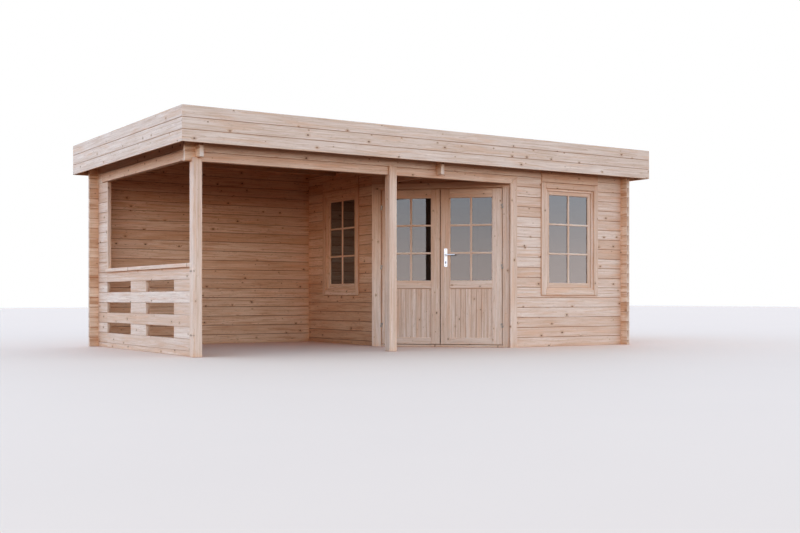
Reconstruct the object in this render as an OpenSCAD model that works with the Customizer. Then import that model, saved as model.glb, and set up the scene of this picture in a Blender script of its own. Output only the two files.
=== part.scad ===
// Flat-roofed log garden shed with a covered terrace.
// Row frame: X along the long front, Y from front to back, Z up, millimetres.
// Origin at ground level under the middle of the roof.

/* [Logs] */
// Height of one log course
course_h = 120; // [118:1:122]
// Thickness of a wall log
log_t = 44; // [42:1:46]
// Number of full courses above the lowest log of the front wall
courses = 18; // [18:1:19]
// Height of the lowest log of the front and back walls
first_x = 114; // [112:1:116]
// How far the log ends stand out past a corner
log_end = 110; // [90:5:120]
// Depth of the V groove between two courses
groove_d = 5; // [3:1:6]

/* [Plan] */
// Length of the building over its log walls
wall_len = 5796; // [5760:4:5840]
// Depth of the building over its log walls
wall_dep = 3060; // [3040:4:3080]
// Outer face of the partition between terrace and room
part_x = -6; // [-30:2:20]
// X of the corner where the diagonal door wall meets the front
door_corner_x = 1120; // [1110:2:1130]

/* [Roof] */
// Length over the fascia
roof_len = 6256; // [6240:4:6280]
// Depth over the fascia
roof_dep = 3512; // [3500:4:3530]
// Lower edge of the fascia
fascia_z0 = 2095; // [2085:1:2105]
// Height of the fascia
fascia_h = 354; // [350:1:360]
// Thickness of the fascia boards
fascia_t = 20; // [18:1:22]
// Thickness of the roof boards
deck_t = 18; // [16:1:20]

/* [Terrace] */
// Side of the two square posts
post_w = 95; // [90:1:98]
// X of the middle post's left side
mid_post_x = -650; // [-700:5:-600]
// Front end of the log wall stub on the left side
stub_y = 1159; // [1150:1:1170]
// Thickness of the cap rail
rail_t = 42; // [36:1:46]
// Width of the cap rail
rail_w = 92; // [80:1:100]
// Lower edge of the front beam
beam_z0 = 1938; // [1934:1:1944]

/* [Doors] */
// Thickness of a door leaf
leaf_t = 40; // [38:1:42]
// Upper edge of the door leaves
leaf_z1 = 1894; // [1884:1:1896]
// Lower edge of the door leaves
leaf_z0 = 32; // [31:1:36]
// Thickness of the casing boards around the doors
casing_t = 18; // [16:1:18]

/* [Windows] */
// Width over the window casing
win_w = 912; // [900:2:920]
// Lower edge of the window casing
win_z0 = 622; // [610:1:630]
// Upper edge of the window casing
win_z1 = 1981; // [1975:1:1985]
// Width of the window casing boards
win_casing = 66; // [60:1:70]
// X of the front window's middle
win_front_x = 1995; // [1980:1:2010]
// Y of the side window's middle
win_side_y = 606; // [590:1:620]

/* [Hidden] */
$fn = 48;
e = 0.01;
big = 8000;
half_c = course_h / 2;
first_y = first_x - half_c;                 // half log under the side walls
wall_h = first_x + courses * course_h;      // top of every wall
xl = -wall_len / 2;                         // outer face, left side
xr = wall_len / 2;                          // outer face, right side
yf = -wall_dep / 2;                         // outer face, front
yb = wall_dep / 2;                          // outer face, back
x_lines = [for (n = [0:courses - 1]) first_x + n * course_h];
y_lines = [for (n = [0:courses]) first_y + n * course_h];
over_z = first_y + 16 * course_h;           // side logs above this run on as beams
plate_z = first_x + 16 * course_h;          // upper front logs run the whole front above this
head_z = over_z - 0.5;                      // top of the door head
facing_z = beam_z0 + 84;                    // top of the facing boards along the beam
groove_w = groove_d;                        // half width of the V groove
purlin_h = 95;
purlin_w = 58;
purlin_y = [-765, 0, 765];
// door wall stations, along the diagonal from the front corner, and outward from its log face
s_cas_r0 = 46;   s_cas_r1 = 130;
s_leaf_r0 = 136; s_leaf_r1 = 875.5;
s_leaf_l0 = 884.5; s_leaf_l1 = 1595;
s_cas_l0 = 1610; s_cas_l1 = 1722;
s_glass_r = [252, 762];
s_glass_l = [991, 1486];
glass_z = [793, 1790];
panel_z = [103, 706];
jamb_w = 34;
leaf_q1 = casing_t;
leaf_q0 = casing_t - leaf_t;
stop_q = leaf_q0 - 6;
axis_q = casing_t + 9;
axis_s_r = (s_cas_r1 + s_leaf_r0) / 2;
axis_s_l = s_leaf_l1 + 7;
hinge_z = [260, 960, 1680];
lever_z = 1105;
key_z = 1013;
handle_s = 812;
win_in = win_w / 2 - win_casing;            // half width inside the casing

// ---- helpers ----
// one face of a log wall as a run of points: lines are the course joints
function face_up(a, d, z0, z1, lines) = concat([[a, z0]],
    [for (l = lines) if (l > z0 + groove_w + 1 && l < z1 - groove_w - 1)
        each [[a, l - groove_w], [a + d, l], [a, l + groove_w]]], [[a, z1]]);
function rev(v) = [for (i = [len(v) - 1:-1:0]) v[i]];
module log_profile(a, b, z0, z1, lines)
    polygon(concat(face_up(a, groove_d, z0, z1, lines), rev(face_up(b, -groove_d, z0, z1, lines))));
// wall running along X between x0 and x1, its faces at y0 and y0 + log_t
module x_wall(x0, x1, y0, z0, z1)
    translate([x0, 0, 0]) rotate([90, 0, 90]) linear_extrude(x1 - x0)
        log_profile(y0, y0 + log_t, z0, z1, x_lines);
// wall running along Y between y0 and y1, its faces at x0 and x0 + log_t
module y_wall(y0, y1, x0, z0, z1)
    translate([0, y1, 0]) rotate([90, 0, 0]) linear_extrude(y1 - y0)
        log_profile(x0, x0 + log_t, z0, z1, y_lines);
module slab(x0, y0, z0, x1, y1, z1) translate([x0, y0, z0]) cube([x1 - x0, y1 - y0, z1 - z0]);
// heights kept by the X logs and by the Y logs where they cross
q4 = course_h / 4;
x_keep = concat([[first_x - 3 * q4, first_x - q4]],
    [for (n = [0:courses - 1]) [first_x + n * course_h + q4, first_x + n * course_h + 3 * q4]]);
y_keep = concat([[0, first_x - 3 * q4]],
    [for (n = [0:courses - 1]) [first_x + n * course_h - q4, first_x + n * course_h + q4]],
    [[wall_h - q4, wall_h]]);
// the notches cut out of an X log wall where a Y wall with face x0 crosses it
module x_notches(x0, y0, z0, z1)
    for (k = y_keep) if (k[1] > z0 && k[0] < z1)
        slab(x0, y0 - 1, max(k[0], z0) - (k[0] <= z0 && z0 == 0 ? 1 : 0), x0 + log_t, y0 + log_t + 1,
            k[1] >= wall_h ? wall_h + 1 : min(k[1], z1));
// the notches cut out of a Y log wall where an X wall with face y0 crosses it
module y_notches(x0, y0, z0, z1)
    for (k = x_keep) if (k[1] > z0 && k[0] < z1)
        slab(x0 - 1, y0, max(k[0], z0) - (k[0] < z0 ? 1 : 0), x0 + log_t + 1, y0 + log_t, min(k[1], z1));
module purlin_notches(x0)
    for (y = purlin_y) slab(x0 - 1, y - purlin_w / 2, wall_h - purlin_h, x0 + log_t + 1, y + purlin_w / 2, wall_h + 1);
// local frame of the door wall: X runs from the front corner to the partition, Y points outward
module at_door() translate([door_corner_x, yf, 0]) rotate([0, 0, 135]) children();
module at_front_window() translate([win_front_x, yf, 0]) rotate([0, 0, 180]) children();
module at_side_window() translate([part_x, win_side_y, 0]) rotate([0, 0, 90]) children();
module win_hole() slab(-win_in - 18, -log_t - 1, win_z0 + 42, win_in + 18, 1, win_z1 - 27);

// ---- walls ----
module back_wall() color("BurlyWood") difference() {
    x_wall(xl - log_end, xr + log_end, yb - log_t, 0, wall_h);
    x_notches(xl, yb - log_t, 0, wall_h);
    x_notches(part_x, yb - log_t, 0, wall_h);
    x_notches(xr - log_t, yb - log_t, 0, wall_h);
}
module right_wall() color("BurlyWood") difference() {
    y_wall(yf - log_end, yb + log_end, xr - log_t, 0, wall_h);
    y_notches(xr - log_t, yf, 0, wall_h);
    y_notches(xr - log_t, yb - log_t, 0, wall_h);
    purlin_notches(xr - log_t);
}
module front_wall() color("BurlyWood") difference() {
    x_wall(door_corner_x - log_t, xr + log_end, yf, 0, plate_z);
    x_notches(xr - log_t, yf, 0, plate_z);
    at_door() slab(-big, 0, -1, big, big, wall_h);
    slab(door_corner_x - big, yf - 1, beam_z0, door_corner_x, yf + log_t + 1, wall_h);
    at_front_window() win_hole();
}
module partition_wall() color("BurlyWood") difference() {
    y_wall(yf / 2, yb + log_end, part_x, 0, over_z);
    y_notches(part_x, yb - log_t, 0, over_z);
    at_door() slab(-big, -log_t, -1, big, big, wall_h);
    at_side_window() win_hole();
}
module partition_beam() color("BurlyWood") difference() {
    y_wall(yf - log_end, yb + log_end, part_x, over_z, wall_h);
    y_notches(part_x, yf, over_z, wall_h);
    y_notches(part_x, yb - log_t, over_z, wall_h);
    purlin_notches(part_x);
}
// short wall at the back of the terrace, its end capped with a board above the rail
module left_wall_stub() color("BurlyWood") difference() {
    union() {
        y_wall(stub_y, yb + log_end, xl, 0, over_z);
        slab(xl, stub_y - casing_t, first_y + 7 * course_h + rail_t, xl + log_t, stub_y - 0.2, over_z);
    }
    y_notches(xl, yb - log_t, 0, over_z);
}
// beam over the left side, faced outside with a board over the terrace
module left_side_beam() color("BurlyWood") difference() {
    union() {
        y_wall(yf - log_end, yb + log_end, xl, over_z, wall_h);
        slab(xl - casing_t, yf + log_t + 0.5, over_z, xl - 0.2, stub_y + 150, over_z + 102);
    }
    y_notches(xl, yf, over_z, wall_h);
    y_notches(xl, yb - log_t, over_z, wall_h);
    purlin_notches(xl);
}
// lower beam log over the terrace bays, and the two logs above that run the whole front
module front_beam() color("BurlyWood") difference() {
    x_wall(xl - log_end, xr + log_end, yf, beam_z0, wall_h);
    slab(door_corner_x, yf - 1, beam_z0 - 1, big, yf + log_t + 1, plate_z);
    x_notches(xl, yf, over_z, wall_h);
    x_notches(part_x, yf, over_z, wall_h);
    x_notches(xr - log_t, yf, plate_z, wall_h);
}
// short log ends on both sides of the doors
module door_wall_ends() color("BurlyWood") {
    at_door() slab(s_leaf_l1 + 6 + jamb_w, -log_t, 0, s_cas_l1, 0, over_z);
    difference() {
        at_door() slab(0, -log_t, 0, s_cas_r1 - jamb_w, 0, over_z);
        slab(0, yf - big, -1, big, yf + log_t, wall_h);
    }
}
module door_wall_over() color("BurlyWood") difference() {
    at_door() x_wall_local(0, s_cas_l1, over_z, wall_h - 0.5);
    slab(0, yf - big, 0, big, yf + log_t, wall_h + 1);
    slab(part_x, yf, 0, part_x + log_t, yb, wall_h + 1);
    for (y = purlin_y) slab(-big, y - purlin_w / 2, wall_h - purlin_h, big, y + purlin_w / 2, wall_h + 1);
}
module x_wall_local(x0, x1, z0, z1)
    translate([x0, 0, 0]) rotate([90, 0, 90]) linear_extrude(x1 - x0)
        log_profile(-log_t, 0, z0, z1, y_lines);

// ---- terrace ----
slot_z = [for (k = [1, 3, 5]) first_y + k * course_h];
module balustrade_logs() color("BurlyWood") {
    slab(xl, yf - 44 + post_w, 0, xl + log_t, stub_y, first_y + course_h);
    for (k = [2, 4, 6])
        slab(xl, yf - 44 + post_w, first_y + k * course_h, xl + log_t, stub_y, first_y + (k + 1) * course_h);
}
module balustrade_blocks() color("BurlyWood")
    for (z = slot_z) {
        slab(xl, -143, z, xl + log_t, 341, z + course_h);
        slab(xl, yf - 44 + post_w, z, xl + log_t, -965, z + course_h);
    }
module balustrade_rail() color("Wheat")
    slab(xl + log_t / 2 - rail_w / 2, yf - 44 + post_w, first_y + 7 * course_h,
        xl + log_t / 2 + rail_w / 2, stub_y, first_y + 7 * course_h + rail_t);
// square post, its front lapping up in front of the beam
module post(x0, lap_z) difference() {
    slab(x0, yf - 44, 0, x0 + post_w, yf - 44 + post_w, lap_z);
    slab(x0 - 1, yf, beam_z0, x0 + post_w + 1, yf + big, lap_z + 1);
}
module corner_post() color("Wheat") post(xl - 40, over_z);
module middle_post() color("Wheat") post(mid_post_x, plate_z);

// ---- trims and door set ----
// corner board beside the doors and the facing boards that run from it along the beam
module front_corner_trim() color("Wheat") {
    slab(door_corner_x - 60, yf - casing_t, 0, door_corner_x + 42, yf, facing_z);
    difference() {
        slab(mid_post_x + post_w, yf - casing_t, beam_z0, door_corner_x - 60.5, yf, facing_z);
        slab(part_x, yf - casing_t - 1, over_z, part_x + log_t, yf + 1, facing_z + 1);
    }
    slab(xl - 40 + post_w, yf - casing_t, beam_z0, mid_post_x, yf, facing_z);
}
module door_casing() color("Wheat") at_door() {
    slab(s_cas_r0, 0, 0, s_cas_r1, casing_t, leaf_z1 + 11);
    slab(s_cas_l0, 0, 0, s_cas_l1, casing_t, leaf_z1 + 11);
}
module door_jambs() color("Tan") at_door() {
    slab(s_cas_r1 - jamb_w, -log_t, 0, s_cas_r1, 0, leaf_z1 + 6);
    slab(s_cas_r1 - e, -log_t, 26, s_cas_r1 + 20, stop_q, leaf_z1 + 6);
    slab(s_leaf_l1 + 6, -log_t, 0, s_leaf_l1 + 6 + jamb_w, 0, leaf_z1 + 6);
    slab(s_leaf_l1 - 14, -log_t, 26, s_leaf_l1 + 6 + e, stop_q, leaf_z1 + 6);
}
// jamb head, stop and casing board in one, let in round the end of the front beam
module door_head() color("Tan") difference() {
    at_door() union() {
        slab(s_cas_r1 - jamb_w, -log_t, leaf_z1 + 6, s_leaf_l1 + 6 + jamb_w, 0, head_z);
        slab(s_cas_r0, 0, leaf_z1 + 11, s_cas_l1, casing_t, head_z);
        slab(s_cas_r1 - jamb_w, -1, leaf_z1 + 11, s_leaf_l1 + 6 + jamb_w, 1, head_z);
        slab(s_cas_r1 + 20, -log_t, leaf_z1 - 14, s_leaf_l1 - 14, stop_q, leaf_z1 + 6 + e);
    }
    slab(door_corner_x - big, yf - 1, beam_z0 - 1, door_corner_x + 1, yf + log_t + 1, wall_h);
}
module door_threshold() color("Tan") at_door()
    slab(s_cas_r1, -log_t, 0, s_leaf_l1 + 6, casing_t, 26);
module leaf(s0, s1, g) difference() {
    slab(s0, leaf_q0, leaf_z0, s1, leaf_q1, leaf_z1);
    slab(g[0], leaf_q0 - 1, glass_z[0], g[1], leaf_q1 + 1, glass_z[1]);
    slab(g[0], leaf_q1 - 10, panel_z[0], g[1], leaf_q1 + 1, panel_z[1]);
    slab(g[0], leaf_q0 - 1, panel_z[0], g[1], leaf_q0 + 10, panel_z[1]);
}
module door_leaf_left() color("Wheat") at_door() leaf(s_leaf_l0, s_leaf_l1, s_glass_l);
module door_leaf_right() color("Wheat") at_door() difference() {
    leaf(s_leaf_r0, s_leaf_r1, s_glass_r);
    translate([handle_s, 0, lever_z]) rotate([90, 0, 0]) cylinder(r = 6, h = 200, center = true);
}
module door_pane(g) slab(g[0], leaf_q1 - 20, glass_z[0], g[1], leaf_q1 - 16, glass_z[1]);
module door_glass_left() color("LightSteelBlue", 0.6) at_door() door_pane(s_glass_l);
module door_glass_right() color("LightSteelBlue", 0.6) at_door() door_pane(s_glass_r);
// lower knuckle with its pin, and its foot on the casing
module frame_half(s, dir) for (z = hinge_z) translate([s, axis_q, z]) {
    translate([0, 0, -27]) cylinder(r = 7, h = 26);
    translate([0, 0, -14]) cylinder(r = 3.1, h = 35);
    translate([dir > 0 ? -13 : 0, -9, -25]) cube([13, 2.5, 22]);
    translate([-3, -8, -25]) cube([6, 6, 22]);
}
module leaf_half(s, dir) for (z = hinge_z) translate([s, axis_q, z]) difference() {
    union() {
        cylinder(r = 7, h = 27);
        translate([dir > 0 ? 0 : -15, -9, 2]) cube([15, 2.5, 23]);
        translate([-3, -8, 2]) cube([6, 6, 23]);
    }
    translate([0, 0, -1]) cylinder(r = 3.5, h = 24);
}
module hinge_frame_halves() color("Silver") at_door() {
    frame_half(axis_s_r, 1);
    frame_half(axis_s_l, -1);
}
module hinge_leaf_halves_left() color("Silver") at_door() leaf_half(axis_s_l, -1);
module hinge_leaf_halves_right() color("Silver") at_door() leaf_half(axis_s_r, 1);
module plate(q) translate([handle_s, q, 0]) difference() {
    translate([-20, 0, 960]) cube([40, 4, 220]);
    translate([0, -1, lever_z]) rotate([-90, 0, 0]) cylinder(r = 9.5, h = 6);
}
module handle_plates() color("Silver") at_door() {
    plate(leaf_q1);
    plate(leaf_q0 - 4);
}
module lever_arm(q0, q1) {
    translate([handle_s, min(q0, q1), lever_z]) rotate([-90, 0, 0]) cylinder(r = 9, h = abs(q1 - q0));
    translate([handle_s - 118, min(q0, q1) + (q1 > q0 ? abs(q1 - q0) - 14 : 0), lever_z - 9]) cube([118, 14, 18]);
    translate([handle_s, q1 > q0 ? q1 - 14 : q1, lever_z]) rotate([-90, 0, 0]) cylinder(r = 9, h = 14);
}
module handle_lever() color("Silver") at_door() union() {
    lever_arm(leaf_q1, leaf_q1 + 58);
    lever_arm(leaf_q0, leaf_q0 - 58);
    translate([handle_s, leaf_q0 - 2, lever_z]) rotate([-90, 0, 0]) cylinder(r = 5, h = leaf_t + 4);
}

// ---- windows ----
module ring(u, z0, z1, w, wb, wt, v0, v1) difference() {
    slab(-u, v0, z0, u, v1, z1);
    slab(-u + w, v0 - 1, z0 + wb, u - w, v1 + 1, z1 - wt);
}
module win_casing_shape() {
    union() {
        ring(win_w / 2, win_z0, win_z1, win_casing, win_casing, win_casing, 0, 20);
        slab(-win_w / 2, 0, win_z1 - e, win_w / 2, 20, win_z1 + 138);
    }
    ring(win_w / 2, win_z0, win_z1, win_casing, win_casing, win_casing, -log_t - 18, -log_t);
}
module win_frame_shape() ring(win_in + 18, win_z0 + 42, win_z1 - 27, 49, 49, 69, -log_t, 0);
sash_u = win_in - 31;
sash_z0 = win_z0 + 91;
sash_z1 = win_z1 - 96;
sash_w = [44, 55, 43];                      // stiles, bottom rail, top rail of the sash
module win_sash_shape() ring(sash_u, sash_z0, sash_z1, sash_w[0], sash_w[1], sash_w[2], -log_t - 4, -12);
module win_glass_shape() slab(-sash_u + sash_w[0], -32, sash_z0 + sash_w[1], sash_u - sash_w[0], -28, sash_z1 - sash_w[2]);
module front_window_casing() color("Wheat") at_front_window() win_casing_shape();
module front_window_frame() color("Tan") at_front_window() win_frame_shape();
module front_window_sash() color("Wheat") at_front_window() win_sash_shape();
module front_window_glass() color("LightSteelBlue", 0.6) at_front_window() win_glass_shape();
module side_window_casing() color("Wheat") at_side_window() win_casing_shape();
module side_window_frame() color("Tan") at_side_window() win_frame_shape();
module side_window_sash() color("Wheat") at_side_window() win_sash_shape();
module side_window_glass() color("LightSteelBlue", 0.6) at_side_window() win_glass_shape();

// ---- floor of the room ----
// plan of the room, kept g inside its walls
module room_plan(g) difference() {
    translate([part_x + log_t + g, yf + log_t + g]) square([xr - part_x - 2 * log_t - 2 * g, wall_dep - 2 * log_t - 2 * g]);
    translate([door_corner_x, yf]) rotate(135) translate([-big, -log_t - g]) square([2 * big, big]);
}
module floor_joists() color("Tan")
    intersection() {
        union() for (y = [-1440, -860, -280, 280, 860, 1400]) slab(-big, y, 0, big, y + 45, 36);
        linear_extrude(36) room_plan(12);
    }
module floor_boards() color("BurlyWood") translate([0, 0, 36]) linear_extrude(18) room_plan(5);

// ---- roof ----
batten_t = 30;
deck_x = roof_len / 2 - fascia_t - batten_t;
deck_y = roof_dep / 2 - fascia_t - batten_t;
module roof_purlins() color("Tan")
    for (y = purlin_y) slab(-deck_x, y - purlin_w / 2, wall_h - purlin_h, deck_x, y + purlin_w / 2, wall_h);
module roof_deck() color("BurlyWood") slab(-deck_x, -deck_y, wall_h, deck_x, deck_y, wall_h + deck_t);
module roof_felt() color("DimGray") difference() {
    slab(-deck_x, -deck_y, wall_h + deck_t, deck_x, deck_y, wall_h + deck_t + 110);
    slab(-deck_x + 4, -deck_y + 4, wall_h + deck_t + 4, deck_x - 4, deck_y - 4, wall_h + big);
}
// one fascia run with mitred ends, along X at its outer face
module fascia_run(l) translate([0, 0, fascia_z0]) linear_extrude(fascia_h)
    polygon([[-l / 2, 0], [l / 2, 0], [l / 2 - fascia_t, fascia_t], [-l / 2 + fascia_t, fascia_t]]);
module fascia_front() color("Wheat") translate([0, -roof_dep / 2, 0]) fascia_run(roof_len);
module fascia_back() color("Wheat") translate([0, roof_dep / 2, 0]) rotate([0, 0, 180]) fascia_run(roof_len);
module fascia_left() color("Wheat") translate([-roof_len / 2, 0, 0]) rotate([0, 0, -90]) fascia_run(roof_dep);
module fascia_right() color("Wheat") translate([roof_len / 2, 0, 0]) rotate([0, 0, 90]) fascia_run(roof_dep);
module fascia_battens() color("Tan") {
    for (sy = [0, 180]) rotate([0, 0, sy]) for (k = [-3:3])
        slab(k * 980 - 22, -deck_y - batten_t, fascia_z0 + 6, k * 980 + 22, -deck_y, fascia_z0 + fascia_h - 10);
    for (sx = [0, 180]) rotate([0, 0, sx]) for (k = [-2:2])
        slab(-deck_x - batten_t, k * 780 - 22, fascia_z0 + 6, -deck_x, k * 780 + 22, fascia_z0 + fascia_h - 10);
}

back_wall();
right_wall();
front_wall();
partition_wall();
partition_beam();
left_wall_stub();
left_side_beam();
front_beam();
door_wall_ends();
door_wall_over();
balustrade_logs();
balustrade_blocks();
balustrade_rail();
corner_post();
middle_post();
front_corner_trim();
door_casing();
door_jambs();
door_head();
door_threshold();
door_leaf_left();
door_glass_left();
door_leaf_right();
door_glass_right();
hinge_frame_halves();
hinge_leaf_halves_left();
hinge_leaf_halves_right();
handle_plates();
handle_lever();
front_window_casing();
front_window_frame();
front_window_sash();
front_window_glass();
side_window_casing();
side_window_frame();
side_window_sash();
side_window_glass();
floor_joists();
floor_boards();
roof_purlins();
roof_deck();
roof_felt();
fascia_front();
fascia_back();
fascia_left();
fascia_right();
fascia_battens();
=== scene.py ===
import math

import bmesh
import bpy
import numpy as np
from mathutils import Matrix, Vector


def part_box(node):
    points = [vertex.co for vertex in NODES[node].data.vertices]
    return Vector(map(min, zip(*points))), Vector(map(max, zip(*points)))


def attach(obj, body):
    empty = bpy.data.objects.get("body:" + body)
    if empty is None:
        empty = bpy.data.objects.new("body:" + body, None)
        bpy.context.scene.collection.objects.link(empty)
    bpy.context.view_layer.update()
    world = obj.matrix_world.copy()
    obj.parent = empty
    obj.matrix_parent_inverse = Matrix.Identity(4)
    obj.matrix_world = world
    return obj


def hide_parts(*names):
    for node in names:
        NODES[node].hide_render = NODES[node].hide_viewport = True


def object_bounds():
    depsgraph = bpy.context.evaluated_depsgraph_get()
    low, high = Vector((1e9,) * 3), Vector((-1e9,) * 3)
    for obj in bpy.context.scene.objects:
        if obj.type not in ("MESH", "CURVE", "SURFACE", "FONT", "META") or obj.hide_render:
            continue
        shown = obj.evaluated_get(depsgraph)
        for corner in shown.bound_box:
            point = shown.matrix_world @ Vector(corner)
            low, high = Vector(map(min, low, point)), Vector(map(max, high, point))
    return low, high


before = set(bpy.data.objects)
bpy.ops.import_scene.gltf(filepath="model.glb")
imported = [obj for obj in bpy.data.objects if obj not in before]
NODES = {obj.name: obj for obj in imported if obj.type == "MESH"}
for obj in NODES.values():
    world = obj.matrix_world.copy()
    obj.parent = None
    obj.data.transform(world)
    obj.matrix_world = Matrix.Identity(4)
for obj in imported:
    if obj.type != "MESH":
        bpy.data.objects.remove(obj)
cad_lo, cad_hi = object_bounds()
rng = np.random.default_rng(41)

# ------------------------------------------------------------------ places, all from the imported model
def bx(n):
    lo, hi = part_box(n)
    return np.array(lo[:], float), np.array(hi[:], float)

bw, rw, fb = bx("back_wall"), bx("right_wall"), bx("front_beam")
T = float(bw[1][1] - bw[0][1])                 # log thickness
yb = float(bw[1][1])
yf = float(fb[0][1])
xr = float(rw[1][0])
px = float(bx("partition_beam")[0][0])
WH = float(bw[1][2])
END = float(bw[1][0] - xr)                     # log ends past a corner
xl = float(bw[0][0]) + END
C = 0.120
fx0 = WH - 18 * C
fy0 = fx0 - C / 2
over_z = float(bx("left_side_beam")[0][2])
plate_z = float(bx("front_wall")[1][2])
beam_z0 = float(fb[0][2])
stub_y = float(bx("balustrade_logs")[1][1])
R2 = math.sqrt(0.5)
dcx = float(bx("front_corner_trim")[1][0]) - 0.042   # where the door wall meets the front
Q4 = C / 4
x_keep = [(fx0 - 3 * Q4, fx0 - Q4)] + [(fx0 + n * C + Q4, fx0 + n * C + 3 * Q4) for n in range(18)]
y_keep = [(0, fx0 - 3 * Q4)] + [(fx0 + n * C - Q4, fx0 + n * C + Q4) for n in range(18)] + [(WH - Q4, WH)]
x_lines = [0.0] + [fx0 + n * C for n in range(19)]
y_lines = [0.0] + [fy0 + n * C for n in range(19)] + [WH]


class Frame:
    """local u (along), v (outward), z (up) to the row frame"""
    def __init__(s, o, u, v):
        s.o, s.u, s.v = np.array(o, float), np.array(u, float), np.array(v, float)

    def __call__(s, p):
        p = np.asarray(p, float)
        return s.o + p[..., 0:1] * s.u + p[..., 1:2] * s.v + p[..., 2:3] * np.array([0, 0, 1.0])


ROW = Frame((0, 0, 0), (1, 0, 0), (0, 1, 0))
BACK = Frame((0, yb, 0), (1, 0, 0), (0, 1, 0))
FRONT = Frame((0, yf, 0), (1, 0, 0), (0, -1, 0))
RIGHT = Frame((xr, 0, 0), (0, 1, 0), (1, 0, 0))
LEFT = Frame((xl, 0, 0), (0, 1, 0), (-1, 0, 0))
PART = Frame((px, 0, 0), (0, 1, 0), (-1, 0, 0))
DOOR = Frame((dcx, yf, 0), (-R2, R2, 0), (-R2, -R2, 0))


# ------------------------------------------------------------------ mesh building
class Batch:
    """boards and logs gathered into one mesh, each with its own grain coordinates"""
    def __init__(s):
        s.v, s.f, s.g, s.t, s.k, s.e, s.d, s.n = [], [], [], [], [], [], [], 0

    def solid(s, verts, faces, grain, ends=(), tint=None, knots=1.0, crease_shade=None):
        verts = np.asarray(verts, float)
        vol = 0.0
        c0 = verts.mean(0)
        for f in faces:
            p = verts[list(f)] - c0
            for i in range(1, len(f) - 1):
                vol += np.dot(p[0], np.cross(p[i], p[i + 1]))
        if vol < 0:
            faces = [tuple(reversed(f)) for f in faces]
        s.v.append(verts)
        s.f += [tuple(i + s.n for i in f) for f in faces]
        s.g.append(np.asarray(grain, float))
        s.t.append(np.full(len(verts), rng.random() if tint is None else tint))
        s.k.append(np.full(len(verts), knots))
        s.d.append(np.zeros(len(verts)) if crease_shade is None else np.asarray(crease_shade, float))
        ends = set(ends)
        s.e += [1.0 if i in ends else 0.0 for i in range(len(faces))]
        s.n += len(verts)

    def make(s, name, mat, slot, *nodes, body="shed", smooth=False):
        me = bpy.data.meshes.new(name)
        me.from_pydata(np.concatenate(s.v).tolist(), [], s.f)
        me.update()
        for label, kind, dom, field, data in (("grain", "FLOAT_VECTOR", "POINT", "vector", np.concatenate(s.g)),
                                              ("tint", "FLOAT", "POINT", "value", np.concatenate(s.t)),
                                              ("knots", "FLOAT", "POINT", "value", np.concatenate(s.k)),
                                              ("groove", "FLOAT", "POINT", "value", np.concatenate(s.d)),
                                              ("endg", "FLOAT", "FACE", "value", np.array(s.e))):
            a = me.attributes.new(label, kind, dom)
            a.data.foreach_set(field, np.asarray(data, np.float32).ravel())
        if smooth:
            me.shade_smooth()
        ob = bpy.data.objects.new(name, me)
        bpy.context.scene.collection.objects.link(ob)
        me.materials.append(MAT[mat])
        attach(ob, body)
        if nodes:
            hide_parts(*nodes)
        return ob


class Grain:
    """grain space of one piece of wood: x along the fibres, z across its wide face, y through it"""
    def __init__(s, along, wide, mid, pith=None):
        ax = {"u": 0, "v": 1, "z": 2}
        s.a, s.w = ax[along], ax[wide]
        s.t = 3 - s.a - s.w
        s.mid = mid
        s.off = rng.uniform(-40, 40)
        s.pith = (rng.uniform(0.03, 0.09) * rng.choice([-1, 1]), rng.uniform(-0.03, 0.03)) if pith is None else pith

    def __call__(s, local):
        local = np.asarray(local, float)
        g = np.empty_like(local)
        g[:, 0] = local[:, s.a] + s.off
        g[:, 1] = local[:, s.t] - s.mid[s.t] + s.pith[0]
        g[:, 2] = local[:, s.w] - s.mid[s.w] + s.pith[1]
        return g


def board(B, F, a, b, along=None, ch=0.002, tint=None, knots=1.0, pith=None, wide=None):
    """box with chamfered edges between local corners a and b, grain along its longest side"""
    a, b = np.minimum(a, b).astype(float), np.maximum(a, b).astype(float)
    d = b - a
    names = "uvz"
    if along is None:
        along = names[int(np.argmax(d))]
    if wide is None:
        wide = max((n for n in names if n != along), key=lambda n: d[names.index(n)])
    ch = min(ch, 0.45 * float(d.min()))
    pts, idx = [], {}
    for sx in (0, 1):
        for sy in (0, 1):
            for sz in (0, 1):
                c = np.where([sx, sy, sz], b, a)
                e = np.where([sx, sy, sz], -ch, ch)
                for k in range(3):
                    q = c + e
                    q[k] = c[k]
                    idx[(sx, sy, sz, k)] = len(pts)
                    pts.append(q)
    pts = np.array(pts)
    faces, ends = [], []
    ea = names.index(along)
    for k in range(3):
        i, j = [m for m in range(3) if m != k]
        for s in (0, 1):
            q = []
            for (p, r) in ((0, 0), (1, 0), (1, 1), (0, 1)):
                t = [0, 0, 0]
                t[k], t[i], t[j] = s, p, r
                q.append(idx[(*t, k)])
            if k == ea:
                ends.append(len(faces))
            faces.append(q)
    for k in range(3):
        i, j = [m for m in range(3) if m != k]
        for p in (0, 1):
            for r in (0, 1):
                t0, t1 = [0, 0, 0], [0, 0, 0]
                t1[k] = 1
                t0[i] = t1[i] = p
                t0[j] = t1[j] = r
                faces.append([idx[(*t0, i)], idx[(*t1, i)], idx[(*t1, j)], idx[(*t0, j)]])
    for sx in (0, 1):
        for sy in (0, 1):
            for sz in (0, 1):
                faces.append([idx[(sx, sy, sz, k)] for k in range(3)])
    mid = pts.mean(0)
    out = []
    for f in faces:
        p = pts[f]
        n = np.cross(p[1] - p[0], p[2] - p[0])
        out.append(tuple(f) if np.dot(n, p.mean(0) - mid) > 0 else tuple(reversed(f)))
    B.solid(F(pts), out, Grain(along, wide, (a + b) / 2, pith)(pts), ends, tint, knots)


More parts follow.
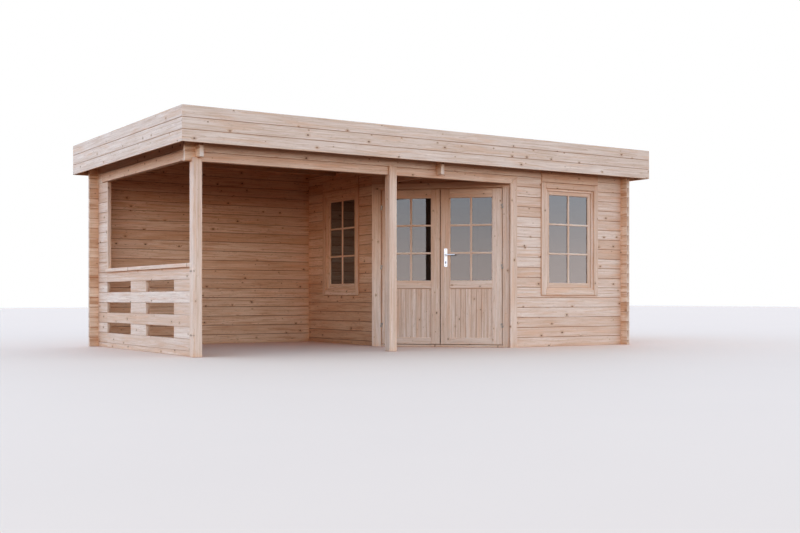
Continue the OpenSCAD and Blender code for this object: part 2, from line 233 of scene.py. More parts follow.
def loft(B, F, rings, gr, tint=None, knots=1.0, ends=True, crease_shade=None):
    """solid through equal rings of local points, closed by its first and last ring"""
    rings = [np.asarray(r, float) for r in rings]
    n = len(rings[0])
    pts = np.concatenate(rings)
    faces = [tuple(range(n - 1, -1, -1))]
    for k in range(len(rings) - 1):
        o = k * n
        for i in range(n):
            j = (i + 1) % n
            faces.append((o + i, o + j, o + n + j, o + n + i))
    faces.append(tuple((len(rings) - 1) * n + i for i in range(n)))
    B.solid(F(pts), faces, gr(pts), (0, len(faces) - 1) if ends else (), tint, knots, None if crease_shade is None else np.tile(crease_shade, len(rings)))


def offset_poly(poly, d):
    """counter-clockwise polygon pulled inwards by d"""
    p = np.asarray(poly, float)
    n = len(p)
    out = []
    for i in range(n):
        e0 = p[i] - p[i - 1]
        e1 = p[(i + 1) % n] - p[i]
        e0, e1 = e0 / np.linalg.norm(e0), e1 / np.linalg.norm(e1)
        n0, n1 = np.array([-e0[1], e0[0]]), np.array([-e1[1], e1[0]])
        k = 1 + float(np.dot(n0, n1))
        out.append(p[i] + d * (n0 + n1) / k)
    return np.array(out)


def prism(B, F, poly, axis, a, b, gr, ch=0.002, tint=None, knots=1.0, ends=False, skew=None):
    """polygon of the two other local coordinates, drawn out along axis from a to b, its rims chamfered"""
    poly = np.asarray(poly, float)
    area = 0.5 * sum(poly[i - 1][0] * poly[i][1] - poly[i][0] * poly[i - 1][1] for i in range(len(poly)))
    if area < 0:
        poly = poly[::-1]
    small = offset_poly(poly, ch)
    k = {"u": 0, "v": 1, "z": 2}[axis]
    o = [m for m in range(3) if m != k]
    rings = []
    for at, ring in ((a, small), (a + ch, poly), (b - ch, poly), (b, small)):
        r = np.zeros((len(poly), 3))
        r[:, o[0]], r[:, o[1]], r[:, k] = ring[:, 0], ring[:, 1], at
        if skew is not None:
            r[:, k] += skew(r, at)
        rings.append(r)
    loft(B, F, rings, gr, tint, knots, ends)


def log_ring(z0, z1, dv=0.0, lo=True, hi=True, ins=0.0, t=None, g=0.0052, gz=0.0036):
    """cross-section of a log: V edges against its neighbours, small ones where there are none"""
    t = T if t is None else t
    d0, e0 = (g, min(gz, g)) if lo else (0.002, 0.002)
    d1, e1 = (g, min(gz, g)) if hi else (0.002, 0.002)
    i = ins
    r = [(-i, z0 + e0 + 0.0010), (-0.0007 - i, z0 + e0 - 0.0003), (-d0 - i, z0 + i),
         (-t + d0 + i, z0 + i), (-t + 0.0007 + i, z0 + e0 - 0.0003), (-t + i, z0 + e0 + 0.0010),
         (-t + i, z1 - e1 - 0.0010), (-t + 0.0007 + i, z1 - e1 + 0.0003), (-t + d1 + i, z1 - i),
         (-d1 - i, z1 - i), (-0.0007 - i, z1 - e1 + 0.0003), (-i, z1 - e1 - 0.0010)]
    r = np.array(r)
    r[:, 0] += dv
    return r


# painted crease shade for the ring points of a log: full in the V grooves, a little at lone small edges
def log_crease_shade(lo, hi):
    a, b = (1.0 if lo else 0.15), (1.0 if hi else 0.15)
    return np.array([0, 0.25 * a, a, a, 0.25 * a, 0, 0, 0.25 * b, b, b, 0.25 * b, 0])


def squeeze(ring, z0, z1, a, b):
    """the ring of a log between z0 and z1 with its height cut to a..b"""
    r = ring.copy()
    r[:, 1] = np.clip(r[:, 1], a, b)
    return r


def log(B, F, u0, u1, z0, z1, cross=(), keep=(), cuts=(), skew0=0.0, skew1=0.0, lo=True, hi=True, tint=None, knots=1.0, t=None, g=0.0052, dv=None):
    """one log. cross: stretches (a, b) where another wall crosses; cuts: (a, b, z_from, z_to) kept there"""
    dv = rng.uniform(-0.0006, 0.0) if dv is None else dv
    tint = rng.random() if tint is None else tint
    tt = T if t is None else t
    full = log_ring(z0, z1, dv, lo, hi, 0.0, t, g)
    small = log_ring(z0, z1, dv, lo, hi, 0.0014, t, g)
    gr = Grain("u", "z", np.array([0, -tt / 2, (z0 + z1) / 2]), (rng.uniform(-0.03, 0.005), rng.uniform(-0.03, 0.03)))
    ev = [(a, b) + next(((max(k0, z0), min(k1, z1)) for k0, k1 in keep if k0 < z1 - 1e-6 and k1 > z0 + 1e-6), (z0, z1)) for a, b in cross]
    ev += list(cuts)
    ev = sorted(e for e in ev if e[0] < u1 - 1e-6 and e[1] > u0 + 1e-6)

    def at(u, ring, sk=0.0):
        return np.stack([u + sk * ring[:, 0], ring[:, 0], ring[:, 1]], 1)

    def piece(a, b, ring, first, last):
        rings = [at(a, small, skew0), at(a + 0.0015, ring, skew0)] if first and ring is full else [at(a, ring, skew0 if first else 0.0)]
        rings += [at(b - 0.0015, ring, skew1), at(b, small, skew1)] if last and ring is full else [at(b, ring, skew1 if last else 0.0)]
        loft(B, F, rings, gr, tint, knots, True, log_crease_shade(lo, hi))

    u = u0
    for a, b, c, d in ev:
        a, b = max(a, u0), min(b, u1)
        if a > u + 0.003:
            piece(u, a, full, u == u0, False)
        piece(max(a, u), b, squeeze(full, z0, z1, c, d), False, False)
        u = b
    if u < u1 - 0.003:
        piece(u, u1, full, u == u0, True)


def wall(B, F, lines, keep, u0, u1, z0, z1, cross=(), holes=(), skew0=0.0, skew1=0.0, lo0=False, hi1=False, knots=1.0):
    for a, b in zip(lines[:-1], lines[1:]):
        a, b = max(a, z0), min(b, z1)
        if b - a < 0.004:
            continue
        spans, cuts = [(u0, u1)], []
        for (h0, h1, q0, q1) in holes:
            if q0 <= a + 1e-6 and q1 >= b - 1e-6:
                spans = [s for (s0, s1) in spans for s in ((s0, min(h0, s1)), (max(h1, s0), s1)) if s[1] - s[0] > 0.01]
            elif q0 < b - 1e-6 and q1 > a + 1e-6:
                cuts.append((h0, h1, a, q0) if q0 > a else (h0, h1, q1, b))
        for (s0, s1) in spans:
            log(B, F, s0, s1, a, b, cross, keep, [c for c in cuts if c[0] < s1 and c[1] > s0],
                skew0 if s0 == u0 else 0.0, skew1 if s1 == u1 else 0.0, lo0 or a > z0 + 1e-6, hi1 or b < z1 - 1e-6, knots=knots)


def local_of(F, p):
    d = np.asarray(p, float) - F.o
    return np.stack([d @ F.u, d @ F.v, d[..., 2]], -1)


def cad_verts(node):
    me = NODES[node].data
    v = np.empty(len(me.vertices) * 3)
    me.vertices.foreach_get("co", v)
    m = np.array(NODES[node].matrix_world)
    return v.reshape(-1, 3) @ m[:3, :3].T + m[:3, 3]


def lbox(node, F):
    q = local_of(F, cad_verts(node))
    return q.min(0), q.max(0)


def islands(bm):
    left, out = set(bm.verts), []
    while left:
        stack, isl = [left.pop()], []
        while stack:
            v = stack.pop()
            isl.append(v)
            for e in v.link_edges:
                w = e.other_vert(v)
                if w in left:
                    left.discard(w)
                    stack.append(w)
        out.append(isl)
    return sorted(out, key=lambda s: min(tuple(round(c, 4) for c in v.co) for v in s))


def from_cad(name, node, F, mat, along=None, bevel=0.002, seg=2, body="shed", wide=None, knots=1.0, tint=None, pick=None):
    """the node's own solids with softened edges, each solid with its own grain"""
    bm = bmesh.new()
    bm.from_mesh(NODES[node].data)
    bmesh.ops.remove_doubles(bm, verts=bm.verts, dist=2e-5)
    bmesh.ops.dissolve_limit(bm, angle_limit=0.01, verts=bm.verts, edges=bm.edges)
    if pick is not None:
        for isl in islands(bm):
            q = local_of(F, np.array([v.co[:] for v in isl]))
            if not pick(q.min(0), q.max(0)):
                bmesh.ops.delete(bm, geom=isl, context="VERTS")
    if bevel > 0:
        edges = [e for e in bm.edges if len(e.link_faces) == 2 and e.calc_face_angle(0) > 0.35]
        bmesh.ops.bevel(bm, geom=edges, offset=bevel, segments=seg, profile=0.6, affect="EDGES", clamp_overlap=True)
    bm.normal_update()
    bm.verts.index_update()
    n = len(bm.verts)
    g, t = np.zeros((n, 3)), np.zeros(n)
    names = "uvz"
    ax_of = {}
    for isl in islands(bm):
        ids = [v.index for v in isl]
        q = local_of(F, np.array([v.co[:] for v in isl]))
        d = q.max(0) - q.min(0)
        al = along or names[int(np.argmax(d))]
        wd = wide or max((m for m in names if m != al), key=lambda m: d[names.index(m)])
        g[ids] = Grain(al, wd, (q.min(0) + q.max(0)) / 2)(q)
        t[ids] = rng.random() if tint is None else tint
        for i in ids:
            ax_of[i] = al
    dirs = {"u": F.u, "v": F.v, "z": np.array([0, 0, 1.0])}
    e = [1.0 if abs(float(np.dot(dirs[ax_of[f.verts[0].index]], f.normal))) > 0.8 else 0.0 for f in bm.faces]
    me = bpy.data.meshes.new(name)
    bm.to_mesh(me)
    bm.free()
    for label, kind, dom, field, data in (("grain", "FLOAT_VECTOR", "POINT", "vector", g), ("tint", "FLOAT", "POINT", "value", t),
                                          ("knots", "FLOAT", "POINT", "value", np.full(n, knots)), ("groove", "FLOAT", "POINT", "value", np.zeros(n)), ("endg", "FLOAT", "FACE", "value", np.array(e))):
        a = me.attributes.new(label, kind, dom)
        a.data.foreach_set(field, np.asarray(data, np.float32).ravel())
    me.materials.clear()
    me.materials.append(MAT[mat])
    ob = bpy.data.objects.new(name, me)
    bpy.context.scene.collection.objects.link(ob)
    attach(ob, body)
    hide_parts(node)
    return ob


# ------------------------------------------------------------------ materials
def tree_of(name):
    m = bpy.data.materials.new(name)
    m.use_nodes = True
    nt = m.node_tree
    for n in list(nt.nodes):
        nt.nodes.remove(n)
    return m, nt


class G:
    """small helper to write node trees"""
    def __init__(s, nt):
        s.nt = nt

    def n(s, kind, **kw):
        nd = s.nt.nodes.new(kind)
        for k, v in kw.items():
            setattr(nd, k, v)
        return nd

    def link(s, a, b):
        s.nt.links.new(a, b)

    def put(s, sock, v):
        if hasattr(v, "is_output") or isinstance(v, bpy.types.NodeSocket):
            s.link(v, sock)
        elif v is not None:
            sock.default_value = v

    def math(s, op, a, b=None, c=None, clamp=False):
        nd = s.n("ShaderNodeMath", operation=op, use_clamp=clamp)
        s.put(nd.inputs[0], a)
        if b is not None:
            s.put(nd.inputs[1], b)
        if c is not None:
            s.put(nd.inputs[2], c)
        return nd.outputs[0]

    def vmath(s, op, a, b=None):
        nd = s.n("ShaderNodeVectorMath", operation=op)
        s.put(nd.inputs[0], a)
        if b is not None:
            s.put(nd.inputs[1], b)
        return nd.outputs["Value"] if op in ("LENGTH", "DOT_PRODUCT", "DISTANCE") else nd.outputs[0]

    def mapr(s, v, a, b, c=0.0, d=1.0, kind="SMOOTHSTEP"):
        nd = s.n("ShaderNodeMapRange", interpolation_type=kind)
        s.put(nd.inputs["Value"], v)
        for k, x in zip(("From Min", "From Max", "To Min", "To Max"), (a, b, c, d)):
            s.put(nd.inputs[k], x)
        return nd.outputs[0]

    def mix(s, f, a, b, kind="MIX"):
        nd = s.n("ShaderNodeMix", data_type="RGBA", blend_type=kind)
        s.put(nd.inputs[0], f)
        s.put(nd.inputs[6], a)
        s.put(nd.inputs[7], b)
        return nd.outputs[2]

    def noise(s, vec, scale, detail=4.0, rough=0.55, dist=0.0, kind="FBM"):
        nd = s.n("ShaderNodeTexNoise")
        s.put(nd.inputs["Vector"], vec)
        nd.inputs["Scale"].default_value = scale
        nd.inputs["Detail"].default_value = detail
        nd.inputs["Roughness"].default_value = rough
        nd.inputs["Distortion"].default_value = dist
        return nd.outputs["Fac"]

    def xyz(s, x, y, z):
        nd = s.n("ShaderNodeCombineXYZ")
        s.put(nd.inputs[0], x)
        s.put(nd.inputs[1], y)
        s.put(nd.inputs[2], z)
        return nd.outputs[0]

    def sep(s, v):
        nd = s.n("ShaderNodeSeparateXYZ")
        s.put(nd.inputs[0], v)
        return nd.outputs

    def ramp(s, f, stops, interp="LINEAR"):
        nd = s.n("ShaderNodeValToRGB")
        cr = nd.color_ramp
        cr.interpolation = interp
        while len(cr.elements) > 1:
            cr.elements.remove(cr.elements[-1])
        cr.elements[0].position = stops[0][0]
        cr.elements[0].color = stops[0][1]
        for p, c in stops[1:]:
            e = cr.elements.new(p)
            e.color = c
        s.put(nd.inputs[0], f)
        return nd.outputs["Color"]


def rgb(r, g, b):
    return (r, g, b, 1.0)


def wood(name, pale, warm, dark, knot_cell=0.21, knot_r=0.0095, knot_keep=0.5, streak=1.0, rough=0.62, bump=0.5, corners=False):
    """untreated spruce: growth rings, fibre streaks, knots the grain bends round, end grain, a tone for each board"""
    m, nt = tree_of(name)
    g = G(nt)
    att = g.n("ShaderNodeAttribute", attribute_name="grain")
    tint = g.n("ShaderNodeAttribute", attribute_name="tint").outputs["Fac"]
    kn_amt = g.n("ShaderNodeAttribute", attribute_name="knots").outputs["Fac"]
    endg = g.n("ShaderNodeAttribute", attribute_name="endg").outputs["Fac"]
    groove = g.n("ShaderNodeAttribute", attribute_name="groove").outputs["Fac"]
    vec = att.outputs["Vector"]
    x, y, z = g.sep(vec)[0:3]
    # mask of the wood well under the roof, in the terrace: its grain stands out more there, and painted shade is laid
    # on it
    px_, py_, pz_ = g.sep(g.n("ShaderNodeNewGeometry").outputs["Position"])[0:3]
    deep = g.math("MULTIPLY", g.mapr(py_, yf + 1.13, yf + 1.60), g.math("LESS_THAN", py_, yb - 0.015))
    deep = g.math("MULTIPLY", deep, g.math("MULTIPLY", g.math("GREATER_THAN", px_, xl + 0.03), g.math("LESS_THAN", px_, xr - 0.03)))
    strong = g.math("ADD", 1.0, g.math("MULTIPLY", deep, 1.1))
    # knots run through the board, so their cells lie in the plane of its wide face
    vor = g.n("ShaderNodeTexVoronoi", voronoi_dimensions="2D", feature="F1", distance="EUCLIDEAN")
    kx = g.math("MULTIPLY", x, 0.66)
    g.put(vor.inputs["Vector"], g.xyz(kx, g.math("ADD", z, g.math("MULTIPLY", y, 0.12)), 0.0))
    vor.inputs["Scale"].default_value = 1.0 / knot_cell
    vor.inputs["Randomness"].default_value = 1.0
    col = g.n("ShaderNodeSeparateColor")
    g.put(col.inputs[0], vor.outputs["Color"])
    pz = g.math("MULTIPLY", g.sep(vor.outputs["Position"])[1], knot_cell)
    d = g.math("MULTIPLY", vor.outputs["Distance"], knot_cell)
    wob = g.noise(vec, 90.0, 2.0, 0.6)
    dw = g.math("ADD", d, g.math("MULTIPLY", g.math("SUBTRACT", wob, 0.5), 0.0045))
    keep = g.math("MULTIPLY", g.math("LESS_THAN", col.outputs[0], knot_keep), kn_amt)
    size = g.mapr(col.outputs[1], 0.0, 1.0, knot_r * 0.36, knot_r * 1.15, "LINEAR")
    rel = g.math("DIVIDE", dw, size)
    knot = g.math("MULTIPLY", g.mapr(rel, 0.80, 1.12, 1.0, 0.0), keep)
    knot_c = g.mix(g.mapr(col.outputs[2], 0.35, 0.75), rgb(0.150, 0.055, 0.025), rgb(0.36, 0.150, 0.068))
    rim = g.math("MULTIPLY", g.mapr(g.math("ABSOLUTE", g.math("SUBTRACT", rel, 0.98)), 0.0, 0.25, 1.0, 0.0), keep)
    halo = g.math("MULTIPLY", g.mapr(g.math("DIVIDE", d, size), 0.7, 5.5, 1.0, 0.0), keep)
    dz = g.math("SUBTRACT", g.math("ADD", z, g.math("MULTIPLY", y, 0.12)), pz)
    zs = g.math("SUBTRACT", z, g.math("MULTIPLY", dz, g.math("MULTIPLY", halo, 0.75)))
    # growth rings
    slow = g.noise(g.xyz(g.math("MULTIPLY", x, 0.55), g.math("MULTIPLY", y, 5.0), g.math("MULTIPLY", zs, 5.0)), 1.0, 3.0, 0.5)
    yy = g.math("ADD", y, g.math("MULTIPLY", g.math("SUBTRACT", slow, 0.5), 0.034))
    r = g.math("SQRT", g.math("ADD", g.math("MULTIPLY", yy, yy), g.math("MULTIPLY", zs, zs)))
    fr = g.math("FRACT", g.math("ADD", g.math("MULTIPLY", r, 1.0 / 0.0048), g.math("MULTIPLY", g.noise(vec, 6.0, 2.0), 1.1)))
    late = g.math("MULTIPLY", g.math("POWER", fr, 3.0), g.mapr(fr, 0.92, 1.0, 1.0, 0.0))
    fib = g.noise(g.xyz(g.math("MULTIPLY", x, 3.0), g.math("MULTIPLY", y, 150.0), g.math("MULTIPLY", zs, 150.0)), 1.0, 5.0, 0.6)
    band = g.noise(g.xyz(g.math("MULTIPLY", x, 1.3), g.math("MULTIPLY", y, 34.0), g.math("MULTIPLY", zs, 34.0)), 1.0, 4.0, 0.55)
    tone = g.noise(g.xyz(g.math("MULTIPLY", x, 1.6), g.math("MULTIPLY", y, 3.0), g.math("MULTIPLY", zs, 7.0)), 1.0, 2.0, 0.5)
    f = g.math("ADD", g.math("MULTIPLY", band, 0.58), g.math("MULTIPLY", tone, 0.42))
    f = g.math("ADD", f, g.math("MULTIPLY", g.math("SUBTRACT", tint, 0.5), TINT))
    half = tuple((np.array(pale) + np.array(warm)) / 2)
    c = g.ramp(g.mapr(f, 0.34, 0.66, 0.0, 1.0, "LINEAR"), [(0.0, warm), (0.5, half), (1.0, pale)])
    flame = g.noise(g.xyz(g.math("MULTIPLY", x, 1.7), g.math("MULTIPLY", y, 15.0), g.math("MULTIPLY", zs, 21.0)), 1.0, 3.0, 0.6)
    c = g.mix(g.math("MULTIPLY", g.mapr(flame, 0.50, 0.68), 0.42 * streak), c, tuple(np.array(warm) * np.array([1.08, 0.90, 0.76, 1.0])))
    lines = g.noise(g.xyz(g.math("MULTIPLY", x, 2.3), g.math("MULTIPLY", y, 58.0), g.math("MULTIPLY", zs, 58.0)), 1.0, 4.0, 0.62)
    c = g.mix(g.math("MULTIPLY", g.math("MULTIPLY", g.mapr(lines, 0.49, 0.66), 0.40 * streak), strong), c, tuple(np.array(warm) * np.array([0.86, 0.76, 0.68, 1.0])))
    c = g.mix(g.math("MULTIPLY", g.mapr(fib, 0.42, 0.74, 0.0, 1.0, "LINEAR"), 0.40 * streak), c, dark)
    c = g.mix(g.math("MULTIPLY", late, 0.34 * streak), c, dark)
    c = g.mix(g.math("MULTIPLY", g.math("POWER", halo, 2.0), 0.50), c, rgb(0.50, 0.245, 0.105))
    c = g.mix(g.math("MULTIPLY", knot, 0.92), c, knot_c)
    c = g.mix(g.math("MULTIPLY", rim, 0.55), c, rgb(0.060, 0.024, 0.012))
    fl = g.noise(g.xyz(g.math("MULTIPLY", x, 16.0), g.math("MULTIPLY", y, 220.0), g.math("MULTIPLY", zs, 220.0)), 1.0, 2.0, 0.5)
    c = g.mix(g.math("MULTIPLY", g.math("MULTIPLY", g.mapr(fl, 0.63, 0.75), 0.50 * streak), strong), c, rgb(0.30, 0.145, 0.075))
    # end grain
    ce = g.mix(0.58, c, tuple(np.array(pale) * np.array([0.97, 0.95, 0.92, 1])))
    ce = g.mix(g.math("MULTIPLY", late, 0.42), ce, rgb(0.42, 0.23, 0.12))
    c = g.mix(endg, c, ce)
    # painted shade: the V grooves between logs and boards are darkened towards their bottom, where the joint's shadow
    # falls
    c = g.mix(g.math("MULTIPLY", g.math("POWER", groove, 1.2), 0.90), c, rgb(0.34, 0.135, 0.050))
    # painted shade: the wood well under the roof is tinted warmer, standing for the warm bounce light in the terrace
    c = g.mix(g.math("MULTIPLY", deep, g.mapr(pz_, 2.40, 2.25)), c, g.mix(1.0, c, TERRACE_SHADE_TINT, "MULTIPLY"))
    # painted shade: in the terrace the grooves are darkened further
    c = g.mix(g.math("MULTIPLY", g.math("MULTIPLY", deep, groove), 0.42), c, rgb(0.15, 0.050, 0.022))
    if corners:
        # painted shade: the partition low down, out of the light from the front, is tinted warmer and darker
        part = g.math("MULTIPLY", g.math("LESS_THAN", g.math("ABSOLUTE", g.math("SUBTRACT", px_, px)), 0.055), g.mapr(pz_, 1.7, 0.35))
        c = g.mix(g.math("MULTIPLY", part, g.math("LESS_THAN", py_, yb - T - 0.002)), c, g.mix(1.0, c, PARTITION_LOW_SHADE, "MULTIPLY"))
        # painted shade: the terrace walls are tinted warmer and darker towards the floor
        c = g.mix(g.math("MULTIPLY", deep, g.mapr(pz_, 1.25, 0.25)), c, g.mix(1.0, c, TERRACE_LOW_SHADE, "MULTIPLY"))
        # the sides of the crossed log ends past the corners are tinted warmer and given darker streaks
        out_x = g.math("GREATER_THAN", g.math("ABSOLUTE", px_), xr + 0.004)
        out_y = g.math("GREATER_THAN", g.math("ABSOLUTE", py_), yb + 0.004)
        outer = g.math("MULTIPLY", g.math("MAXIMUM", out_x, out_y), g.math("SUBTRACT", 1.0, endg))
        c = g.mix(outer, c, g.mix(1.0, c, CROSSED, "MULTIPLY"))
        c = g.mix(g.math("MULTIPLY", g.math("MULTIPLY", outer, g.mapr(flame, 0.52, 0.64)), 0.55), c, rgb(0.50, 0.235, 0.105))
        # painted light: the top logs under the fascia, on the front and the left, are lightened and cooled against the
        # fascia's shade, so they stay the palest, as the photo shows
        face = g.math("MAXIMUM", g.math("LESS_THAN", py_, yf + 0.03), g.math("MULTIPLY", g.math("LESS_THAN", px_, xl + 0.03), g.math("GREATER_THAN", px_, xl - 0.02)))
        c = g.mix(g.math("MULTIPLY", face, g.mapr(pz_, 1.93, 2.00)), c, g.mix(1.0, c, EAVES_PAINTED_LIGHT, "MULTIPLY"))
    # painted shade: an ambient-occlusion mask tints the wood in corners and joints warmer and darker
    ao = g.n("ShaderNodeAmbientOcclusion", samples=6)
    ao.inputs["Distance"].default_value = 0.13
    c = g.mix(g.mapr(ao.outputs["AO"], 0.80, 0.28), c, g.mix(1.0, c, CORNER_SHADE_TINT, "MULTIPLY"))
    bs = g.n("ShaderNodeBsdfPrincipled")
    g.put(bs.inputs["Base Color"], c)
    ro = g.mapr(fib, 0.3, 0.7, rough - 0.07, rough + 0.09, "LINEAR")
    g.put(bs.inputs["Roughness"], g.math("SUBTRACT", ro, g.math("MULTIPLY", knot, 0.15)))
    bs.inputs["Specular IOR Level"].default_value = 0.30
    h = g.math("ADD", g.math("MULTIPLY", fib, 0.0005), g.math("MULTIPLY", late, 0.0002))
    h = g.math("ADD", h, g.math("MULTIPLY", rim, -0.0006))
    h = g.math("ADD", h, g.math("MULTIPLY", tone, 0.0012))
    bp = g.n("ShaderNodeBump")
    bp.inputs["Strength"].default_value = bump
    bp.inputs["Distance"].default_value = 1.0
    g.put(bp.inputs["Height"], h)
    g.put(bs.inputs["Normal"], bp.outputs[0])
    out = g.n("ShaderNodeOutputMaterial")
    g.link(bs.outputs[0], out.inputs[0])
    return m


def metal(name, color, rough, brushed=120.0, metallic=1.0):
    m, nt = tree_of(name)
    g = G(nt)
    tc = g.n("ShaderNodeTexCoord").outputs["Object"]
    x, y, z = g.sep(tc)[0:3]
    br = g.noise(g.xyz(g.math("MULTIPLY", x, brushed), g.math("MULTIPLY", y, brushed), g.math("MULTIPLY", z, 6.0)), 6.0, 3.0, 0.6)
    sm = g.noise(tc, 60.0, 3.0, 0.55)
    c = g.mix(g.mapr(sm, 0.35, 0.7), color, tuple(np.array(color) * np.array([0.88, 0.87, 0.86, 1])))
    c = g.mix(g.math("MULTIPLY", g.mapr(br, 0.45, 0.75), 0.25), c, rgb(0.5, 0.49, 0.48))
    bs = g.n("ShaderNodeBsdfPrincipled")
    g.put(bs.inputs["Base Color"], c)
    bs.inputs["Metallic"].default_value = metallic
    g.put(bs.inputs["Roughness"], g.mapr(br, 0.3, 0.7, rough - 0.05, rough + 0.09, "LINEAR"))
    bp = g.n("ShaderNodeBump")
    bp.inputs["Strength"].default_value = 0.15
    bp.inputs["Distance"].default_value = 0.001
    g.put(bp.inputs["Height"], br)
    g.put(bs.inputs["Normal"], bp.outputs[0])
    out = g.n("ShaderNodeOutputMaterial")
    g.link(bs.outputs[0], out.inputs[0])
    return m


def glass(name):
    m, nt = tree_of(name)
    g = G(nt)
    tc = g.n("ShaderNodeTexCoord").outputs["Object"]
    wav = g.noise(tc, 2.2, 2.0, 0.4)
    dust = g.noise(tc, 35.0, 5.0, 0.65)
    bp = g.n("ShaderNodeBump")
    bp.inputs["Strength"].default_value = 0.03
    bp.inputs["Distance"].default_value = 0.01
    g.put(bp.inputs["Height"], wav)
    tr = g.n("ShaderNodeBsdfTransparent")
    g.put(tr.inputs["Color"], g.mix(g.mapr(dust, 0.4, 0.7), rgb(0.36, 0.37, 0.37), rgb(0.33, 0.34, 0.34)))
    gl = g.n("ShaderNodeBsdfGlossy")
    gl.inputs["Color"].default_value = rgb(0.86, 0.90, 0.94)
    g.put(gl.inputs["Roughness"], g.mapr(dust, 0.35, 0.75, 0.012, 0.035, "LINEAR"))
    g.put(gl.inputs["Normal"], bp.outputs[0])
    fr = g.n("ShaderNodeFresnel")
    fr.inputs["IOR"].default_value = 1.52
    # mirror strength set to what the panes show in the photo; only the face turned to the ray counts
    fac = g.math("MINIMUM", g.math("MULTIPLY", g.math("POWER", fr.outputs[0], 1.45), 10.2), 0.85)
    fac = g.math("MULTIPLY", fac, g.math("SUBTRACT", 1.0, g.n("ShaderNodeNewGeometry").outputs["Backfacing"]))
    mx = g.n("ShaderNodeMixShader")
    g.put(mx.inputs[0], fac)
    g.link(tr.outputs[0], mx.inputs[1])
    g.link(gl.outputs[0], mx.inputs[2])
    out = g.n("ShaderNodeOutputMaterial")
    g.link(mx.outputs[0], out.inputs[0])
    return m


def felt_mat():
    m, nt = tree_of("roofing_felt_mineral")
    g = G(nt)
    tc = g.n("ShaderNodeTexCoord").outputs["Object"]
    gr = g.noise(tc, 420.0, 2.0, 0.7)
    big = g.noise(tc, 1.3, 4.0, 0.6)
    vor = g.n("ShaderNodeTexVoronoi")
    g.put(vor.inputs["Vector"], tc)
    vor.inputs["Scale"].default_value = 260.0
    c = g.mix(g.mapr(gr, 0.35, 0.7), rgb(0.082, 0.050, 0.031), rgb(0.270, 0.176, 0.112))
    c = g.mix(g.math("MULTIPLY", g.mapr(big, 0.4, 0.7), 0.4), c, rgb(0.205, 0.132, 0.083))
    bs = g.n("ShaderNodeBsdfPrincipled")
    g.put(bs.inputs["Base Color"], c)
    g.put(bs.inputs["Roughness"], g.mapr(gr, 0.3, 0.7, 0.82, 0.95, "LINEAR"))
    bs.inputs["Specular IOR Level"].default_value = 0.12
    bp = g.n("ShaderNodeBump")
    bp.inputs["Strength"].default_value = 0.6
    bp.inputs["Distance"].default_value = 0.0012
    g.put(bp.inputs["Height"], g.math("SUBTRACT", 1.0, vor.outputs["Distance"]))
    g.put(bs.inputs["Normal"], bp.outputs[0])
    out = g.n("ShaderNodeOutputMaterial")
    g.link(bs.outputs[0], out.inputs[0])
    return m


TINT = 0.30
# tints multiplied into the wood: painted shade in the terrace, low down and in corners, painted light under the fascia,
# and warmer crossed log ends
TERRACE_SHADE_TINT = (1.04, 0.97, 0.885, 1.0)
EAVES_PAINTED_LIGHT = (1.08, 1.22, 1.36, 1.0)
CROSSED = (1.09, 1.04, 0.96, 1.0)
PARTITION_LOW_SHADE = (0.92, 0.80, 0.70, 1.0)
TERRACE_LOW_SHADE = (0.95, 0.88, 0.81, 1.0)
CORNER_SHADE_TINT = (1.0, 0.86, 0.72, 1.0)
PALE, WARM, DARK = rgb(0.855, 0.651, 0.478), rgb(0.715, 0.463, 0.298), rgb(0.47, 0.235, 0.12)
MAT = {
    "logs": wood("spruce_logs", PALE, WARM, DARK, 0.165, 0.0070, 0.66, corners=True),
    "joinery": wood("spruce_joinery", rgb(0.848, 0.625, 0.447), rgb(0.725, 0.478, 0.313), DARK, 0.14, 0.0054, 0.60, streak=1.1, rough=0.56),
    "fascia": wood("spruce_fascia", rgb(0.822, 0.620, 0.454), rgb(0.69, 0.476, 0.316), rgb(0.485, 0.266, 0.147), 0.165, 0.0062, 0.66, streak=1.1, rough=0.60),
    "rough": wood("spruce_sawn", rgb(0.64, 0.45, 0.32), rgb(0.55, 0.35, 0.22), rgb(0.38, 0.22, 0.12), 0.19, 0.008, 0.45, streak=1.25, rough=0.78, bump=0.9),
    "boards": wood("spruce_boards", rgb(0.69, 0.49, 0.365), rgb(0.60, 0.39, 0.26), DARK, 0.2, 0.0075, 0.45, streak=1.0, rough=0.68),
    "zinc": metal("zinc_plated_steel", rgb(0.36, 0.30, 0.24), 0.36, 90.0),
    "alloy": metal("satin_alloy", rgb(0.86, 0.86, 0.85), 0.34, 140.0, 0.75),
    "dark": metal("keyhole_shadow", rgb(0.03, 0.03, 0.03), 0.6, 60.0, 0.2),
    "glass": glass("window_glass_clear"),
    "felt": felt_mat(),
}

# ------------------------------------------------------------------ the look of the light
FLOOR_A, FLOOR_B = (0.86, 0.535, 0.355), (0.84, 0.522, 0.347)
CARD_OUT, CARD_IN = (0.46, 0.21, 0.12), (0.26, 0.085, 0.034)
SKY = [(0.0, (3.9, 3.28, 3.0, 1)), (0.035, (3.55, 3.06, 2.86, 1)), (0.07, (2.90, 2.72, 2.69, 1)), (0.11, (2.42, 2.52, 2.70, 1)), (0.20, (2.20, 2.50, 2.95, 1)), (0.30, (1.55, 2.02, 2.68, 1)), (0.45, (1.00, 1.55, 2.38, 1)), (0.70, (0.74, 1.26, 2.06, 1)), (1.0, (0.78, 1.18, 1.62, 1))]
BELOW = (0.14, 0.062, 0.042)
SIDE = [(0.0, (0.85, 0.85, 0.85, 1)), (0.5, (1.0, 1.0, 1.0, 1)), (1.0, (1.13, 1.34, 1.52, 1))]
SKY_STRENGTH = 1.0
VIEW_GAMMA = 0.87
LIGHTS = []

